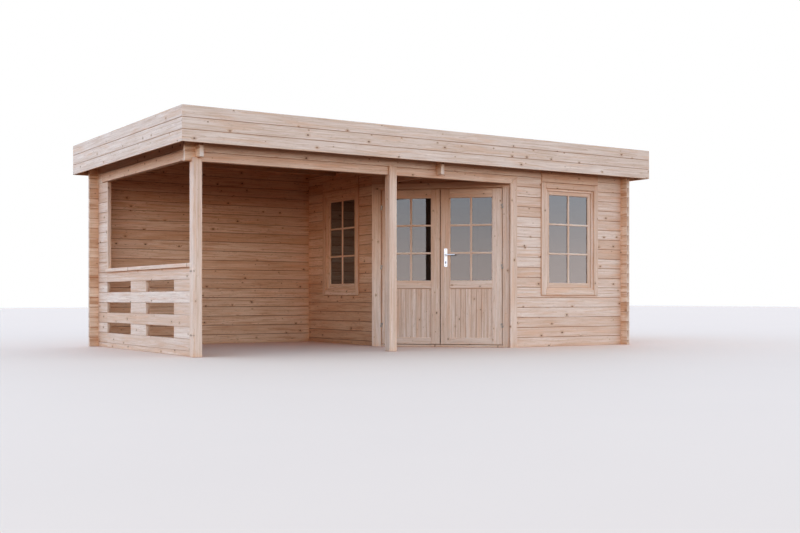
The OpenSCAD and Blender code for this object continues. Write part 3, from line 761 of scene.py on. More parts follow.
# ------------------------------------------------------------------ log walls
fwc, swc = bx("front_window_casing"), bx("side_window_casing")
wcx = float(fwc[0][0] + fwc[1][0]) / 2
wcy = float(swc[0][1] + swc[1][1]) / 2
wf = bx("front_window_frame")
hw = float(wf[1][0] - wf[0][0]) / 2
hz0, hz1 = float(wf[0][2]), float(wf[1][2])
pu = cad_verts("roof_purlins")
pu_z = float(pu[:, 2].min())
pu_y = [(float(a), float(b)) for a, b in zip(*[iter(sorted(set(np.round(pu[:, 1], 4))))] * 2)]
PURL = [(a, b, pu_z, WH + 0.01) for a, b in pu_y]
cL, cP, cR = (xl, xl + T), (px, px + T), (xr - T, xr)
cF, cB = (yf, yf + T), (yb - T, yb)

B = Batch()
wall(B, BACK, x_lines, x_keep, xl - END, xr + END, 0, WH, [cL, cP, cR])
B.make("back_wall_logs", "logs", "wall_logs", "back_wall")
B = Batch()
wall(B, RIGHT, y_lines, y_keep, yf - END, yb + END, 0, WH, [cF, cB], PURL)
B.make("right_wall_logs", "logs", "wall_logs", "right_wall")
B = Batch()
wall(B, FRONT, x_lines, x_keep, dcx, xr + END, 0, plate_z, [cR], [(wcx - hw, wcx + hw, hz0, hz1)], skew0=1.0, hi1=True)
B.make("front_wall_logs", "logs", "wall_logs", "front_wall")
B = Batch()
wall(B, PART, y_lines, y_keep, yf + (dcx - px) + T * math.sqrt(2), yb + END, 0, over_z, [cB], [(wcy - hw, wcy + hw, hz0, hz1)], skew0=1.0, hi1=True)
B.make("partition_logs", "logs", "wall_logs", "partition_wall")
B = Batch()
wall(B, PART, y_lines, y_keep, yf - END, yb + END, over_z, WH, [cF, cB], PURL)
B.make("partition_beam_logs", "logs", "wall_logs", "partition_beam")
B = Batch()
wall(B, LEFT, y_lines, y_keep, stub_y, yb + END, 0, over_z, [cB], hi1=True)
B.make("left_stub_logs", "logs", "wall_logs", "left_wall_stub")
B = Batch()
wall(B, LEFT, y_lines, y_keep, yf - END, yb + END, over_z, WH, [cF, cB], PURL)
B.make("left_beam_logs", "logs", "wall_logs", "left_side_beam")
B = Batch()
low = [(k0 if k0 > beam_z0 + 0.01 else beam_z0, k1) for k0, k1 in x_keep]
log(B, FRONT, xl - END, dcx, beam_z0, plate_z, [cL, cP], low, skew1=1.0, lo=False)
for k in (16, 17):
    log(B, FRONT, xl - END, xr + END, x_lines[k + 1], x_lines[k + 2], [cL, cP, cR], x_keep, hi=k < 17)
B.make("front_beam_logs", "logs", "wall_logs", "front_beam")
# the wall that carries the doors
jb = lbox("door_jambs", DOOR)
de = lbox("door_wall_ends", DOOR)
s_jr, s_jl, s_end = float(jb[0][0]), float(jb[1][0]), float(de[1][0])
sF = T * math.sqrt(2)
B = Batch()
wall(B, DOOR, y_lines, [], s_jl, s_end, 0, over_z, hi1=True)
wall(B, DOOR, y_lines, [], sF, s_jr, 0, over_z, skew0=1.0, hi1=True)
B.make("door_wall_log_ends", "logs", "wall_logs", "door_wall_ends")
sP = (dcx - px - T) / R2 
B = Batch()
pa, pb = [(y - yf) / R2 for y in pu_y[0]]
hole = [(min(pa, pb), max(pa, pb) - T, pu_z, WH + 0.01)]
top_l = [z for z in y_lines[:-1]] + [WH - 0.0005]
wall(B, DOOR, top_l, [], sF, sP, over_z, WH - 0.0005, holes=hole, skew0=1.0, skew1=-1.0, lo0=True)
wall(B, DOOR, top_l, [], (dcx - px) / R2, s_end, over_z, WH - 0.0005, skew0=-1.0, lo0=True)
B.make("door_wall_upper_logs", "logs", "wall_logs", "door_wall_over")

# ------------------------------------------------------------------ balustrade and posts
bl = bx("balustrade_logs")
y0, y1 = float(bl[0][1]), float(bl[1][1])
B = Batch()
for i in (0, 1, 3, 5, 7):
    log(B, LEFT, y0, y1, y_lines[i], y_lines[i + 1], g=0.0026, lo=i > 0, dv=rng.uniform(-0.0004, 0), knots=0.8)
B.make("balustrade_long_logs", "logs", "wall_logs", "balustrade_logs")
bb = sorted(set(np.round(cad_verts("balustrade_blocks")[:, 1], 4)))
B = Batch()
for i in (2, 4, 6):
    for a, b in ((bb[0], bb[1]), (bb[2], bb[3])):
        log(B, LEFT, a, b, y_lines[i], y_lines[i + 1], g=0.0026, dv=rng.uniform(-0.0006, 0), knots=0.6)
B.make("balustrade_filler_blocks", "logs", "wall_logs", "balustrade_blocks")
from_cad("balustrade_top_rail", "balustrade_rail", LEFT, "joinery", bevel=0.006, seg=3)
from_cad("corner_post_timber", "corner_post", ROW, "joinery", along="z", bevel=0.004, seg=2, knots=0.55)
from_cad("middle_post_timber", "middle_post", ROW, "joinery", along="z", bevel=0.004, seg=2, knots=0.55)
# corner board and beam facing, mitred together beside the doors
ct = bx("front_corner_trim")
face_t, face_z = float(yf - ct[0][1]), float(ct[1][2])
c0, c1 = dcx - 0.060, float(ct[1][0])
cc = 0.003
pl, pm = bx("corner_post"), bx("middle_post")
B = Batch()
prof = [(c0, 0), (c1, 0), (c1, face_t - cc), (c1 - cc, face_t), (c0 + cc, face_t), (c0, face_t - cc)]
rings = [[(u, v, 0.0) for u, v in prof]]
for back, drop in ((0.0040, 0.0), (0.0006, 0.0022)):
    rings.append([(u, v - (drop if v > face_t - 0.0001 else 0.0), beam_z0 + (u - c0) / (c1 - c0) * (face_z - beam_z0) - back) for u, v in prof])
loft(B, FRONT, rings, Grain("z", "u", np.array([(c0 + c1) / 2, 0.0, 0.4])), tint=0.62)
prof = [(beam_z0, 0), (face_z, 0), (face_z, face_t - cc), (face_z - cc, face_t), (beam_z0 + cc, face_t), (beam_z0, face_t - cc)]
rings = [[(float(pm[1][0]), v, z) for z, v in prof]]
for back, drop in ((0.0040, 0.0), (0.0006, 0.0022)):
    rings.append([(c0 + (z - beam_z0) / (face_z - beam_z0) * (c1 - c0) - back, v - (drop if v > face_t - 0.0001 else 0.0), z) for z, v in prof])
loft(B, FRONT, rings, Grain("u", "z", np.array([0.2, 0.0, beam_z0 + 0.05])), tint=0.70)
board(B, FRONT, (float(pl[1][0]), 0.0, beam_z0), (float(pm[0][0]), face_t, face_z), "u", cc, 0.66)
B.make("front_corner_and_facing_boards", "joinery", "planed_joinery", "front_corner_trim")
lb, ls = bx("left_side_beam"), bx("left_wall_stub")
B = Batch()
board(B, LEFT, (yf + T, 0.0, over_z), (stub_y + 0.150, float(xl - lb[0][0]), over_z + 0.102), "u", cc, 0.60)
board(B, LEFT, (float(ls[0][1]), -T, float(bx("balustrade_rail")[1][2])), (stub_y, 0.0, over_z), "z", cc, 0.45)
B.make("left_facing_and_end_boards", "joinery", "planed_joinery")

# ------------------------------------------------------------------ door set
from_cad("door_casing_boards", "door_casing", DOOR, "joinery", bevel=0.003)
from_cad("door_jamb_timbers", "door_jambs", DOOR, "joinery", along="z", bevel=0.002)
from_cad("door_head_timber", "door_head", DOOR, "joinery", along="u", bevel=0.002)
from_cad("door_sill_timber", "door_threshold", DOOR, "joinery", along="u", bevel=0.005, seg=3)


def bead(B, F, u0, u1, z0, z1, v0, v1, w, knots=0.0):
    """four mitred beads round an opening, with a sloped face towards it"""
    prof = [(0, v0), (w, v0), (w, v0 + (v1 - v0) * 0.30), (w * 0.72, v0 + (v1 - v0) * 0.62), (w * 0.36, v0 + (v1 - v0) * 0.92), (0, v1)]
    n = len(prof)
    for side in range(4):
        vert = side % 2 == 0
        rings = []
        for end in (0, 1):
            r = []
            for d, v in prof:
                if side == 0:
                    r.append((u0 + d, v, (z0 + d) if end == 0 else (z1 - d)))
                elif side == 2:
                    r.append((u1 - d, v, (z0 + d) if end == 0 else (z1 - d)))
                elif side == 1:
                    r.append(((u0 + d) if end == 0 else (u1 - d), v, z1 - d))
                else:
                    r.append(((u0 + d) if end == 0 else (u1 - d), v, z0 + d))
            rings.append(r)
        mid = np.array(rings).reshape(-1, 3).mean(0)
        loft(B, F, rings, Grain("z" if vert else "u", "u" if vert else "z", mid), knots=knots, ends=False)


def muntin(B, F, a, b, c, v0, v1, w, vertical, steps=()):
    """a glazing bar: flat back on the glass, rounded shoulders outside"""
    h = w / 2
    s = 1 if v1 > v0 else -1
    d = abs(v1 - v0)
    prof = [(-h, 0), (h, 0), (h, d * 0.62), (h * 0.93, d * 0.74), (h * 0.80, d * 0.93), (h * 0.66, d), (-h * 0.66, d), (-h * 0.80, d * 0.93), (-h * 0.93, d * 0.74), (-h, d * 0.62)]
    rings = []
    for e in (a, b):
        rings.append([(c + p, v0 + s * q, e) if vertical else (e, v0 + s * q, c + p) for p, q in prof])
    mid = np.array(rings).reshape(-1, 3).mean(0)
    loft(B, F, rings, Grain("z" if vertical else "u", "u" if vertical else "z", mid), knots=0.0, ends=False)


def leaf(tag, node, glass_node, body):
    (s0, q0, z0), (s1, q1, z1) = lbox(node, DOOR)
    (g0, _, gz0), (g1, _, gz1) = lbox(glass_node, DOOR)
    gq0, gq1 = lbox(glass_node, DOOR)[0][1], lbox(glass_node, DOOR)[1][1]
    zz = sorted(set(np.round(cad_verts(node)[:, 2], 4)))
    p0, p1 = [z for z in zz if z0 + 0.02 < z < gz0 - 0.02][:2]
    B = Batch()
    e = 0.0004
    tones = rng.uniform(0.25, 0.8, 8)
    board(B, DOOR, (s0, q0, z0), (g0 - e, q1, z1), "z", 0.0028, tones[0])
    board(B, DOOR, (g1 + e, q0, z0), (s1, q1, z1), "z", 0.0028, tones[1])
    board(B, DOOR, (g0, q0, z0), (g1, q1, p0), "u", 0.0028, tones[2], knots=0.7)
    board(B, DOOR, (g0, q0, p1), (g1, q1, gz0), "u", 0.0028, tones[3], knots=0.7)
    board(B, DOOR, (g0, q0, gz1), (g1, q1, z1), "u", 0.0028, tones[4], knots=0.7)
    # tongued boards of the lower panel
    n = 8
    w = (g1 - g0) / n
    for i in range(n):
        a, b = g0 + i * w, g0 + (i + 1) * w
        ring = [(a, q0 + 0.0140), (a + 0.0030, q0 + 0.010), (b - 0.0030, q0 + 0.010), (b, q0 + 0.0140),
                (b, q1 - 0.0140), (b - 0.0030, q1 - 0.010), (a + 0.0030, q1 - 0.010), (a, q1 - 0.0140)]
        gr = Grain("z", "u", np.array([(a + b) / 2, 0, 0]))
        rings = [[(u, v, z) for u, v in ring] for z in (p0 - 0.004, p1 + 0.004)]
        loft(B, DOOR, rings, gr, knots=0.75, ends=False, crease_shade=[1, 0, 0, 1, 1, 0, 0, 1])
    # beads round the panel and the glass, outside and inside
    bead(B, DOOR, g0, g1, p0, p1, q1 - 0.010, q1 - 0.0015, 0.009)
    bead(B, DOOR, g0, g1, p0, p1, q0 + 0.010, q0 + 0.0015, 0.009)
    bead(B, DOOR, g0, g1, gz0, gz1, gq1, q1 - 0.002, 0.0055)
    bead(B, DOOR, g0, g1, gz0, gz1, gq0, q0 + 0.002, 0.0055)
    c = (g0 + g1) / 2
    for va, vb in ((gq1, q1 - 0.003), (gq0, q0 + 0.003)):
        muntin(B, DOOR, gz0 + 0.002, gz1 - 0.002, c, va, vb, 0.023, True)
        for k in (1, 2):
            zc = gz0 + (gz1 - gz0) * k / 3
            vb2 = va + (vb - va) * 0.985
            muntin(B, DOOR, g0 + 0.002, g1 - 0.002, zc, va, vb2, 0.023, False)
    B.make("door_" + tag + "_joinery", "joinery", "planed_joinery", node, body=body)
    for ob in (NODES[glass_node],):
        ob.data.materials.clear()
        ob.data.materials.append(MAT["glass"])


leaf("left", "door_leaf_left", "door_glass_left", "door_left")
leaf("right", "door_leaf_right", "door_glass_right", "door_right")

# ------------------------------------------------------------------ ironmongery
def paint(node, mat):
    me = NODES[node].data
    me.materials.clear()
    me.materials.append(MAT[mat])


for n in ("hinge_frame_halves", "hinge_leaf_halves_left", "hinge_leaf_halves_right"):
    paint(n, "zinc")
    eased = NODES[n].modifiers.new("eased_rims", "BEVEL")
    eased.width, eased.segments, eased.limit_method, eased.angle_limit = 0.0007, 2, "ANGLE", math.radians(50)


def disc(B, F, c, axis, r, h, n=20, dome=0.35, slot_w=0.0):
    """screw head or cap: a low dome standing on the plane through c"""
    k = {"u": 0, "v": 1, "z": 2}[axis]
    o = [m for m in range(3) if m != k]
    rings = []
    for rr, hh in ((1.0, 0.0), (1.0, 1 - dome), (0.86, 1 - dome * 0.3), (0.6, 1.0)):
        p = np.zeros((n, 3))
        t = np.arange(n) * 2 * math.pi / n
        p[:, o[0]] = c[o[0]] + r * rr * np.cos(t)
        p[:, o[1]] = c[o[1]] + r * rr * np.sin(t)
        p[:, k] = c[k] + h * hh
        rings.append(p)
    loft(B, F, rings, Grain("u", "z", np.zeros(3)), tint=0.5, knots=0.0, ends=False)


for tag, node, body, sgn in (("left", "hinge_leaf_halves_left", "door_left", -1), ("right", "hinge_leaf_halves_right", "door_right", 1)):
    lo, hi = lbox(node, DOOR)
    ax = (lo[0] + 0.007) if sgn > 0 else (hi[0] - 0.007)
    qf = lbox("door_leaf_" + tag, DOOR)[1][1] + 0.0025
    zb = []
    for isl_z in sorted(cad_verts(node)[:, 2]):
        if not zb or isl_z > zb[-1] + 0.3:
            zb.append(float(isl_z))
    B, C = Batch(), Batch()
    for z in zb:
        for dz in (0.008, 0.019):
            disc(B, DOOR, (ax + sgn * 0.0112, qf, z + dz), "v", 0.0026, 0.0009, 14)
            disc(C, DOOR, (ax - sgn * 0.0100, qf, z - 0.0275 + dz), "v", 0.0026, 0.0009, 14)
    B.make("hinge_screws_" + tag, "zinc", "zinc_steel", body=body, smooth=False)
    C.make("hinge_frame_screws_" + tag, "zinc", "zinc_steel", body="shed", smooth=False)

from mathutils.geometry import tessellate_polygon
from mathutils import Vector


def plate_with_holes(B, F, outer, holes, v0, v1, ch=0.0008):
    """flat plate in the u,z plane with holes, its front rim eased"""
    s = 1 if v1 > v0 else -1
    inner = offset_poly(outer, ch)
    loops = [inner] + [np.asarray(h) for h in holes]
    pts, faces = [], []
    flat = [p for lp in loops for p in lp]
    tess = tessellate_polygon([[Vector((p[0], p[1], 0)) for p in lp] for lp in loops])
    n = len(flat)
    for v in (v1, v0):
        pts += [(p[0], v, p[1]) for p in flat]
    for a, b, c in tess:
        faces.append((a, b, c))
        faces.append((n + c, n + b, n + a))
    off = len(loops[0])
    m = len(outer)
    base = len(pts)
    pts += [(p[0], v1 - s * ch, p[1]) for p in outer] + [(p[0], v0 + s * ch, p[1]) for p in outer]
    for i in range(m):
        j = (i + 1) % m
        faces.append((i, base + i, base + j, j))
        faces.append((base + i, base + m + i, base + m + j, base + j))
        faces.append((base + m + i, n + i, n + j, base + m + j))
    for h in holes:
        k = len(h)
        for i in range(k):
            j = (i + 1) % k
            faces.append((off + i, off + j, n + off + j, n + off + i))
        off += k
    bm = bmesh.new()
    vs = [bm.verts.new(p) for p in pts]
    for f in faces:
        try:
            bm.faces.new([vs[i] for i in f])
        except ValueError:
            pass
    bmesh.ops.recalc_face_normals(bm, faces=bm.faces)
    bm.verts.index_update()
    P = np.array([v.co[:] for v in bm.verts])
    fc = [tuple(v.index for v in f.verts) for f in bm.faces]
    bm.free()
    B.solid(F(P), fc, Grain("z", "u", np.zeros(3))(P), (), 0.5, 0.0)


def rrect(w, h, r, n=6, cx=0.0, cy=0.0):
    out = []
    for sx, sy, a0 in ((1, 1, 0), (-1, 1, 90), (-1, -1, 180), (1, -1, 270)):
        for i in range(n + 1):
            t = math.radians(a0 + 90 * i / n)
            out.append((cx + sx * (w - r) + r * math.cos(t), cy + sy * (h - r) + r * math.sin(t)))
    return np.array(out)


(ps0, pq0, pz0), (ps1, pq1, pz1) = lbox("handle_plates", DOOR)
lv0, lv1 = lbox("handle_lever", DOOR)
hs = (ps0 + ps1) / 2
lz = (lv0[2] + lv1[2]) / 2
lf = lbox("door_leaf_right", DOOR)
key = lz - 0.092
circ = lambda cx, cy, r, n=28: np.array([(cx + r * math.cos(2 * math.pi * i / n), cy + r * math.sin(2 * math.pi * i / n)) for i in range(n)])
keyhole = [(hs + 0.0078 * math.cos(math.radians(a)), key + 0.005 + 0.0078 * math.sin(math.radians(a))) for a in range(-52, 233, 15)]
keyhole += [(hs - 0.0046, key - 0.0165), (hs + 0.0046, key - 0.0165)]
keyhole = np.array(keyhole)
B = Batch()
D = Batch()
S = Batch()
for va, vb in ((lf[1][1], pq1), (lf[0][1], pq0)):
    s = 1 if vb > va else -1
    plate_with_holes(B, DOOR, rrect((ps1 - ps0) / 2, (pz1 - pz0) / 2, 0.009, 6, hs, (pz0 + pz1) / 2), [circ(hs, lz, 0.0094), keyhole], va, vb)
    # painted shadow: a thin dark plate behind each keyhole stands for the shade inside the lock
    board(D, DOOR, (hs - 0.0105, va + s * 0.0002, key - 0.019), (hs + 0.0105, va + s * 0.0010, key + 0.0155), "z", 0.0002, 0.5, 0.0)
    for z in (pz0 + 0.016, pz1 - 0.016):
        disc(S, DOOR, (hs, vb, z), "v", 0.0042, s * 0.0011)
B.make("handle_backplates", "alloy", "handle_alloy", "handle_plates", body="door_right")
D.make("keyhole_backs", "dark", "zinc_steel", body="door_right")
S.make("handle_screws", "zinc", "zinc_steel", body="door_right")
# lever: a neck that turns over into a tapering grip, on both faces, and its spindle
B = Batch()
for va, vb in ((lf[1][1], lv1[1]), (lf[0][1], lv0[1])):
    s = 1 if vb > va else -1
    n = 24
    ang = np.arange(n) * 2 * math.pi / n
    rings = []
    for v, r in ((va + s * 0.0006, 0.0072), (va + s * 0.0070, 0.0072), (va + s * 0.0074, 0.0090), (va + s * 0.0105, 0.0090), (va + s * 0.0125, 0.0080), (va + s * 0.030, 0.0074)):
        rings.append([(hs + r * math.cos(a), v, lz + r * math.sin(a)) for a in ang])
    R = 0.013
    vc = vb - s * 0.0075 - s * R
    for k in range(0, 7):
        t = math.radians(15 * k)
        cu, cv = hs - (R - R * math.cos(t)), vc + s * R * math.sin(t)
        ru, rz = 0.0074 + 0.0002 * k, 0.0074 + 0.0002 * k
        rings.append([(cu + ru * math.cos(a) * math.cos(t), cv + s * ru * math.cos(a) * math.sin(t), lz + rz * math.sin(a)) for a in ang])
    u_end = lv0[0]
    L = (hs - R) - u_end
    for f in np.linspace(0.08, 0.97, 12):
        ww = 0.0070 - 0.0016 * f
        hh = 0.0086 - 0.0014 * f
        rings.append([(hs - R - L * f, vb - s * 0.0072 + s * ww * math.cos(a), lz + hh * math.sin(a)) for a in ang])
    for f, q in ((0.985, 0.8), (0.996, 0.5)):
        rings.append([(hs - R - L * f, vb - s * 0.0072 + s * 0.0054 * q * math.cos(a), lz + 0.0072 * q * math.sin(a)) for a in ang])
    loft(B, DOOR, rings, Grain("u", "z", np.zeros(3)), tint=0.5, knots=0.0, ends=False)
ob = B.make("handle_levers", "alloy", "handle_alloy", "handle_lever", body="lever", smooth=True)
B = Batch()
loft(B, DOOR, [[(hs + 0.0045 * a, v, lz + 0.0045 * b) for a, b in ((1, 1), (-1, 1), (-1, -1), (1, -1))] for v in (lf[0][1] - 0.004, lf[1][1] + 0.004)],
     Grain("u", "z", np.zeros(3)), tint=0.5, knots=0.0, ends=False)
B.make("handle_spindle", "zinc", "zinc_steel", body="lever")

# ------------------------------------------------------------------ windows
def window(tag, F):
    c, f, sh, gl = [lbox(tag + "_window_" + n, F) for n in ("casing", "frame", "sash", "glass")]
    cv = local_of(F, cad_verts(tag + "_window_casing"))
    out = cv[cv[:, 1] > 0.002]
    cu = c[1][0]
    proud = c[1][1]
    inz = c[0][1]
    us = sorted(set(np.round(np.abs(out[:, 0]), 4)))
    zs = sorted(set(np.round(out[:, 2], 4)))
    ui = us[0]
    zb0, zb1, zt0, zh = zs[0], zs[1], zs[2], zs[-1]
    zt1 = zt0 + zb1 - zb0
    B = Batch()
    e = 0.0006
    for sgn in (-1, 1):
        board(B, F, (sgn * ui, 0.0, zb0), (sgn * cu, proud, zt1), "z", 0.0028)
    board(B, F, (-ui + e, 0.0, zb0), (ui - e, proud - 0.0006, zb1), "u", 0.0028)
    board(B, F, (-ui + e, 0.0, zt0), (ui - e, proud - 0.0006, zt1), "u", 0.0028)
    board(B, F, (-cu + 0.006, 0.0, zt1 + 0.0075), (cu, proud - 0.0020, zh), "u", 0.0030)
    # inner casing
    iv = cv[cv[:, 1] < -0.03]
    iu = sorted(set(np.round(np.abs(iv[:, 0]), 4)))
    iz = sorted(set(np.round(iv[:, 2], 4)))
    v0, v1 = iv[:, 1].min(), iv[:, 1].max()
    for sgn in (-1, 1):
        board(B, F, (sgn * iu[0], v0, iz[0]), (sgn * iu[-1], v1, iz[-1]), "z", 0.0028)
    board(B, F, (-iu[0] + e, v0 + 0.0005, iz[0]), (iu[0] - e, v1, iz[1]), "u", 0.0028)
    board(B, F, (-iu[0] + e, v0 + 0.0005, iz[-2]), (iu[0] - e, v1, iz[-1]), "u", 0.0028)
    B.make(tag + "_window_casing_boards", "joinery", "planed_joinery", tag + "_window_casing")
    # frame
    B = Batch()
    fo, fi, fz0, fz1 = f[1][0], sh[1][0], f[0][2], f[1][2]
    for sgn in (-1, 1):
        board(B, F, (sgn * fi, f[0][1], fz0), (sgn * fo, f[1][1], fz1), "z", 0.0018)
    board(B, F, (-fi + e, f[0][1], fz0), (fi - e, f[1][1], sh[0][2]), "u", 0.0018)
    board(B, F, (-fi + e, f[0][1], sh[1][2]), (fi - e, f[1][1], fz1), "u", 0.0018)
    B.make(tag + "_window_frame_timbers", "joinery", "planed_joinery", tag + "_window_frame")
    # sash
    B = Batch()
    (su, sv0, sz0), (su1, sv1, sz1) = sh
    (gu, gv0, gz0), (gu1, gv1, gz1) = gl
    k = 0.0012
    board(B, F, (su + k, sv0, sz0 + k), (gu, sv1, sz1 - k), "z", 0.0022)
    board(B, F, (gu1, sv0, sz0 + k), (su1 - k, sv1, sz1 - k), "z", 0.0022)
    board(B, F, (gu + e, sv0, sz0 + k), (gu1 - e, sv1, gz0), "u", 0.0022, knots=0.5)
    board(B, F, (gu + e, sv0, gz1), (gu1 - e, sv1, sz1 - k), "u", 0.0022, knots=0.5)
    bead(B, F, gu, gu1, gz0, gz1, gv1, sv1 - 0.002, 0.0045)
    bead(B, F, gu, gu1, gz0, gz1, gv0, sv0 + 0.002, 0.0045)
    for va, vb in ((gv1, sv1 - 0.003), (gv0, sv0 + 0.003)):
        muntin(B, F, gz0 + 0.002, gz1 - 0.002, 0.0, va, vb, 0.025, True)
        for j in (1, 2):
            muntin(B, F, gu + 0.002, gu1 - 0.002, gz0 + (gz1 - gz0) * j / 3, va, va + (vb - va) * 0.985, 0.023, False)
    B.make(tag + "_window_sash_joinery", "joinery", "planed_joinery", tag + "_window_sash")
    paint(tag + "_window_glass", "glass")


window("front", Frame((wcx, yf, 0), (1, 0, 0), (0, -1, 0)))
window("side", Frame((px, wcy, 0), (0, 1, 0), (-1, 0, 0)))

# ------------------------------------------------------------------ floor
from_cad("floor_bearers", "floor_joists", ROW, "rough", bevel=0.0015)
fl = bx("floor_boards")
fq = lbox("floor_boards", DOOR)[1][1]
B = Batch()
n = int(round((fl[1][1] - fl[0][1]) / 0.096))
w = (fl[1][1] - fl[0][1]) / n
xd = lambda y: dcx - (y - yf) - fq / R2
for i in range(n):
    a, b = fl[0][1] + i * w, fl[0][1] + (i + 1) * w
    a0, b0 = a, b
    x1 = fl[1][0]
    xa, xb = max(xd(a0), fl[0][0]), max(xd(b0), fl[0][0])
    poly = [(xa, a0), (x1, a0), (x1, b0), (xb, b0)]
    if xa > fl[0][0] + 1e-4 and xb <= fl[0][0] + 1e-4:
        yc = yf + dcx - fq / R2 - fl[0][0]
        if a0 + 0.002 < yc < b0 - 0.002:
            poly = [(xa, a0), (x1, a0), (x1, b0), (xb, b0), (xb, yc)]
    prism(B, ROW, poly, "z", float(fl[0][2]), float(fl[1][2]), Grain("u", "v", np.array([0, (a + b) / 2, 0.045])), 0.0016, knots=0.8)
B.make("floor_planks", "boards", "floor_and_roof_boards", "floor_boards")

# ------------------------------------------------------------------ roof
from_cad("purlins", "roof_purlins", ROW, "rough", bevel=0.002)
rd = bx("roof_deck")
B = Batch()
n = int(round((rd[1][0] - rd[0][0]) / 0.100))
w = (rd[1][0] - rd[0][0]) / n
for i in range(n):
    a, b = rd[0][0] + i * w, rd[0][0] + (i + 1) * w
    z0, z1 = float(rd[0][2]), float(rd[1][2])
    ring = [(a, z0 + 0.0045), (a + 0.0035, z0), (b - 0.0035, z0), (b, z0 + 0.0045), (b, z1), (a, z1)]
    rings = [[(u, v, z) for u, z in ring] for v in (float(rd[0][1]), float(rd[1][1]))]
    loft(B, ROW, rings, Grain("v", "u", np.array([(a + b) / 2, 0, (z0 + z1) / 2])), knots=0.8, crease_shade=[1, 0, 0, 1, 0, 0])
B.make("roof_planks", "boards", "floor_and_roof_boards", "roof_deck")
# felt: lapped sheets laid across the roof, turned up behind the fascia
rf = bx("roof_felt")
fv = cad_verts("roof_felt")
zb = sorted(set(np.round(fv[:, 2], 4)))
fz0, fz1, fzt = zb[0], zb[1], zb[-1]
B = Batch()
ix0, ix1, iy0, iy1 = rf[0][0], rf[1][0], rf[0][1], rf[1][1]
th = 0.0035
ns = 7
wS = (ix1 - ix0) / ns
for i in range(ns):
    a = ix0 + i * wS
    b = a + wS + (0.08 if i < ns - 1 else 0.0)
    # a sheet lies flat, then rises over the one before along its lap
    up = 0.0042 if i else 0.0
    prof = []
    xs = [a, a + 0.08, a + 0.11, b] if i else [a, b]
    zs_ = [fz0 + up, fz0 + up, fz0, fz0] if i else [fz0, fz0]
    for yy0, yy1 in ((iy0, iy1),):
        ring_lo = [(x, z) for x, z in zip(xs, zs_)]
        ring = ring_lo + [(x, z + th) for x, z in reversed(ring_lo)]
        rings = [[(x, y, z) for x, z in ring] for y in (yy0, yy1)]
        loft(B, ROW, rings, Grain("v", "u", np.zeros(3)), tint=rng.random(), knots=0.0, ends=False)
for k, (p, q) in enumerate((((ix0, iy0), (ix0 + th, iy1)), ((ix1 - th, iy0), (ix1, iy1)), ((ix0, iy0), (ix1, iy0 + th)), ((ix0, iy1 - th), (ix1, iy1)))):
    board(B, ROW, (p[0], p[1], fz0), (q[0], q[1], fzt), ch=0.0012, knots=0.0)
B.make("roofing_sheets", "felt", "roofing_felt", "roof_felt")

# fascia: three boards a side, mitred at the corners
FASC = {"front": (Frame((0, bx("fascia_front")[0][1], 0), (1, 0, 0), (0, -1, 0)), bx("fascia_front"), 0),
        "back": (Frame((0, bx("fascia_back")[1][1], 0), (1, 0, 0), (0, 1, 0)), bx("fascia_back"), 0),
        "left": (Frame((bx("fascia_left")[0][0], 0, 0), (0, 1, 0), (-1, 0, 0)), bx("fascia_left"), 1),
        "right": (Frame((bx("fascia_right")[1][0], 0, 0), (0, 1, 0), (1, 0, 0)), bx("fascia_right"), 1)}
for side, (F, bo, k) in FASC.items():
    B = Batch()
    ft = float(min(bo[1][0] - bo[0][0], bo[1][1] - bo[0][1]))
    z0, z1 = float(bo[0][2]), float(bo[1][2])
    h = (z1 - z0) / 3
    u0, u1 = float(bo[0][k]), float(bo[1][k])
    for i in range(3):
        a, b = z0 + i * h, z0 + (i + 1) * h
        ring = log_ring(a, b, rng.uniform(-0.0005, 0), i > 0, i < 2, 0.0, ft, 0.0042)
        gr = Grain("u", "z", np.array([0, -ft / 2, (a + b) / 2]))
        rings = [np.stack([u0 - ring[:, 0], ring[:, 0], ring[:, 1]], 1), np.stack([u1 + ring[:, 0], ring[:, 0], ring[:, 1]], 1)]
        loft(B, F, rings, gr, tint={"front": (0.80, 0.68, 0.76), "left": (0.60, 0.72, 0.64)}.get(side, (0.66, 0.58, 0.72))[i], ends=False, crease_shade=log_crease_shade(i > 0, i < 2))
    B.make("fascia_boards_" + side, "fascia", "fascia_boards", "fascia_" + side)
from_cad("fascia_fixing_battens", "fascia_battens", ROW, "rough", along="z", bevel=0.0012)

# ------------------------------------------------------------------ stage, light, camera
me = bpy.data.meshes.new("studio_floor")
S_ = 60.0
me.from_pydata([(-S_, -S_, -0.0005), (S_, -S_, -0.0005), (S_, S_, -0.0005), (-S_, S_, -0.0005)], [], [(0, 1, 2, 3)])
floor = bpy.data.objects.new("studio_floor", me)
bpy.context.scene.collection.objects.link(floor)
m, nt = tree_of("studio_floor_pale")
g = G(nt)
bs = g.n("ShaderNodeBsdfPrincipled")
tc = g.n("ShaderNodeTexCoord").outputs["Object"]
g.put(bs.inputs["Base Color"], g.mix(g.noise(tc, 0.8, 3.0), rgb(*FLOOR_A), rgb(*FLOOR_B)))
bs.inputs["Roughness"].default_value = 0.85
bs.inputs["Specular IOR Level"].default_value = 0.2
out = g.n("ShaderNodeOutputMaterial")
g.link(bs.outputs[0], out.inputs[0])
me.materials.append(m)
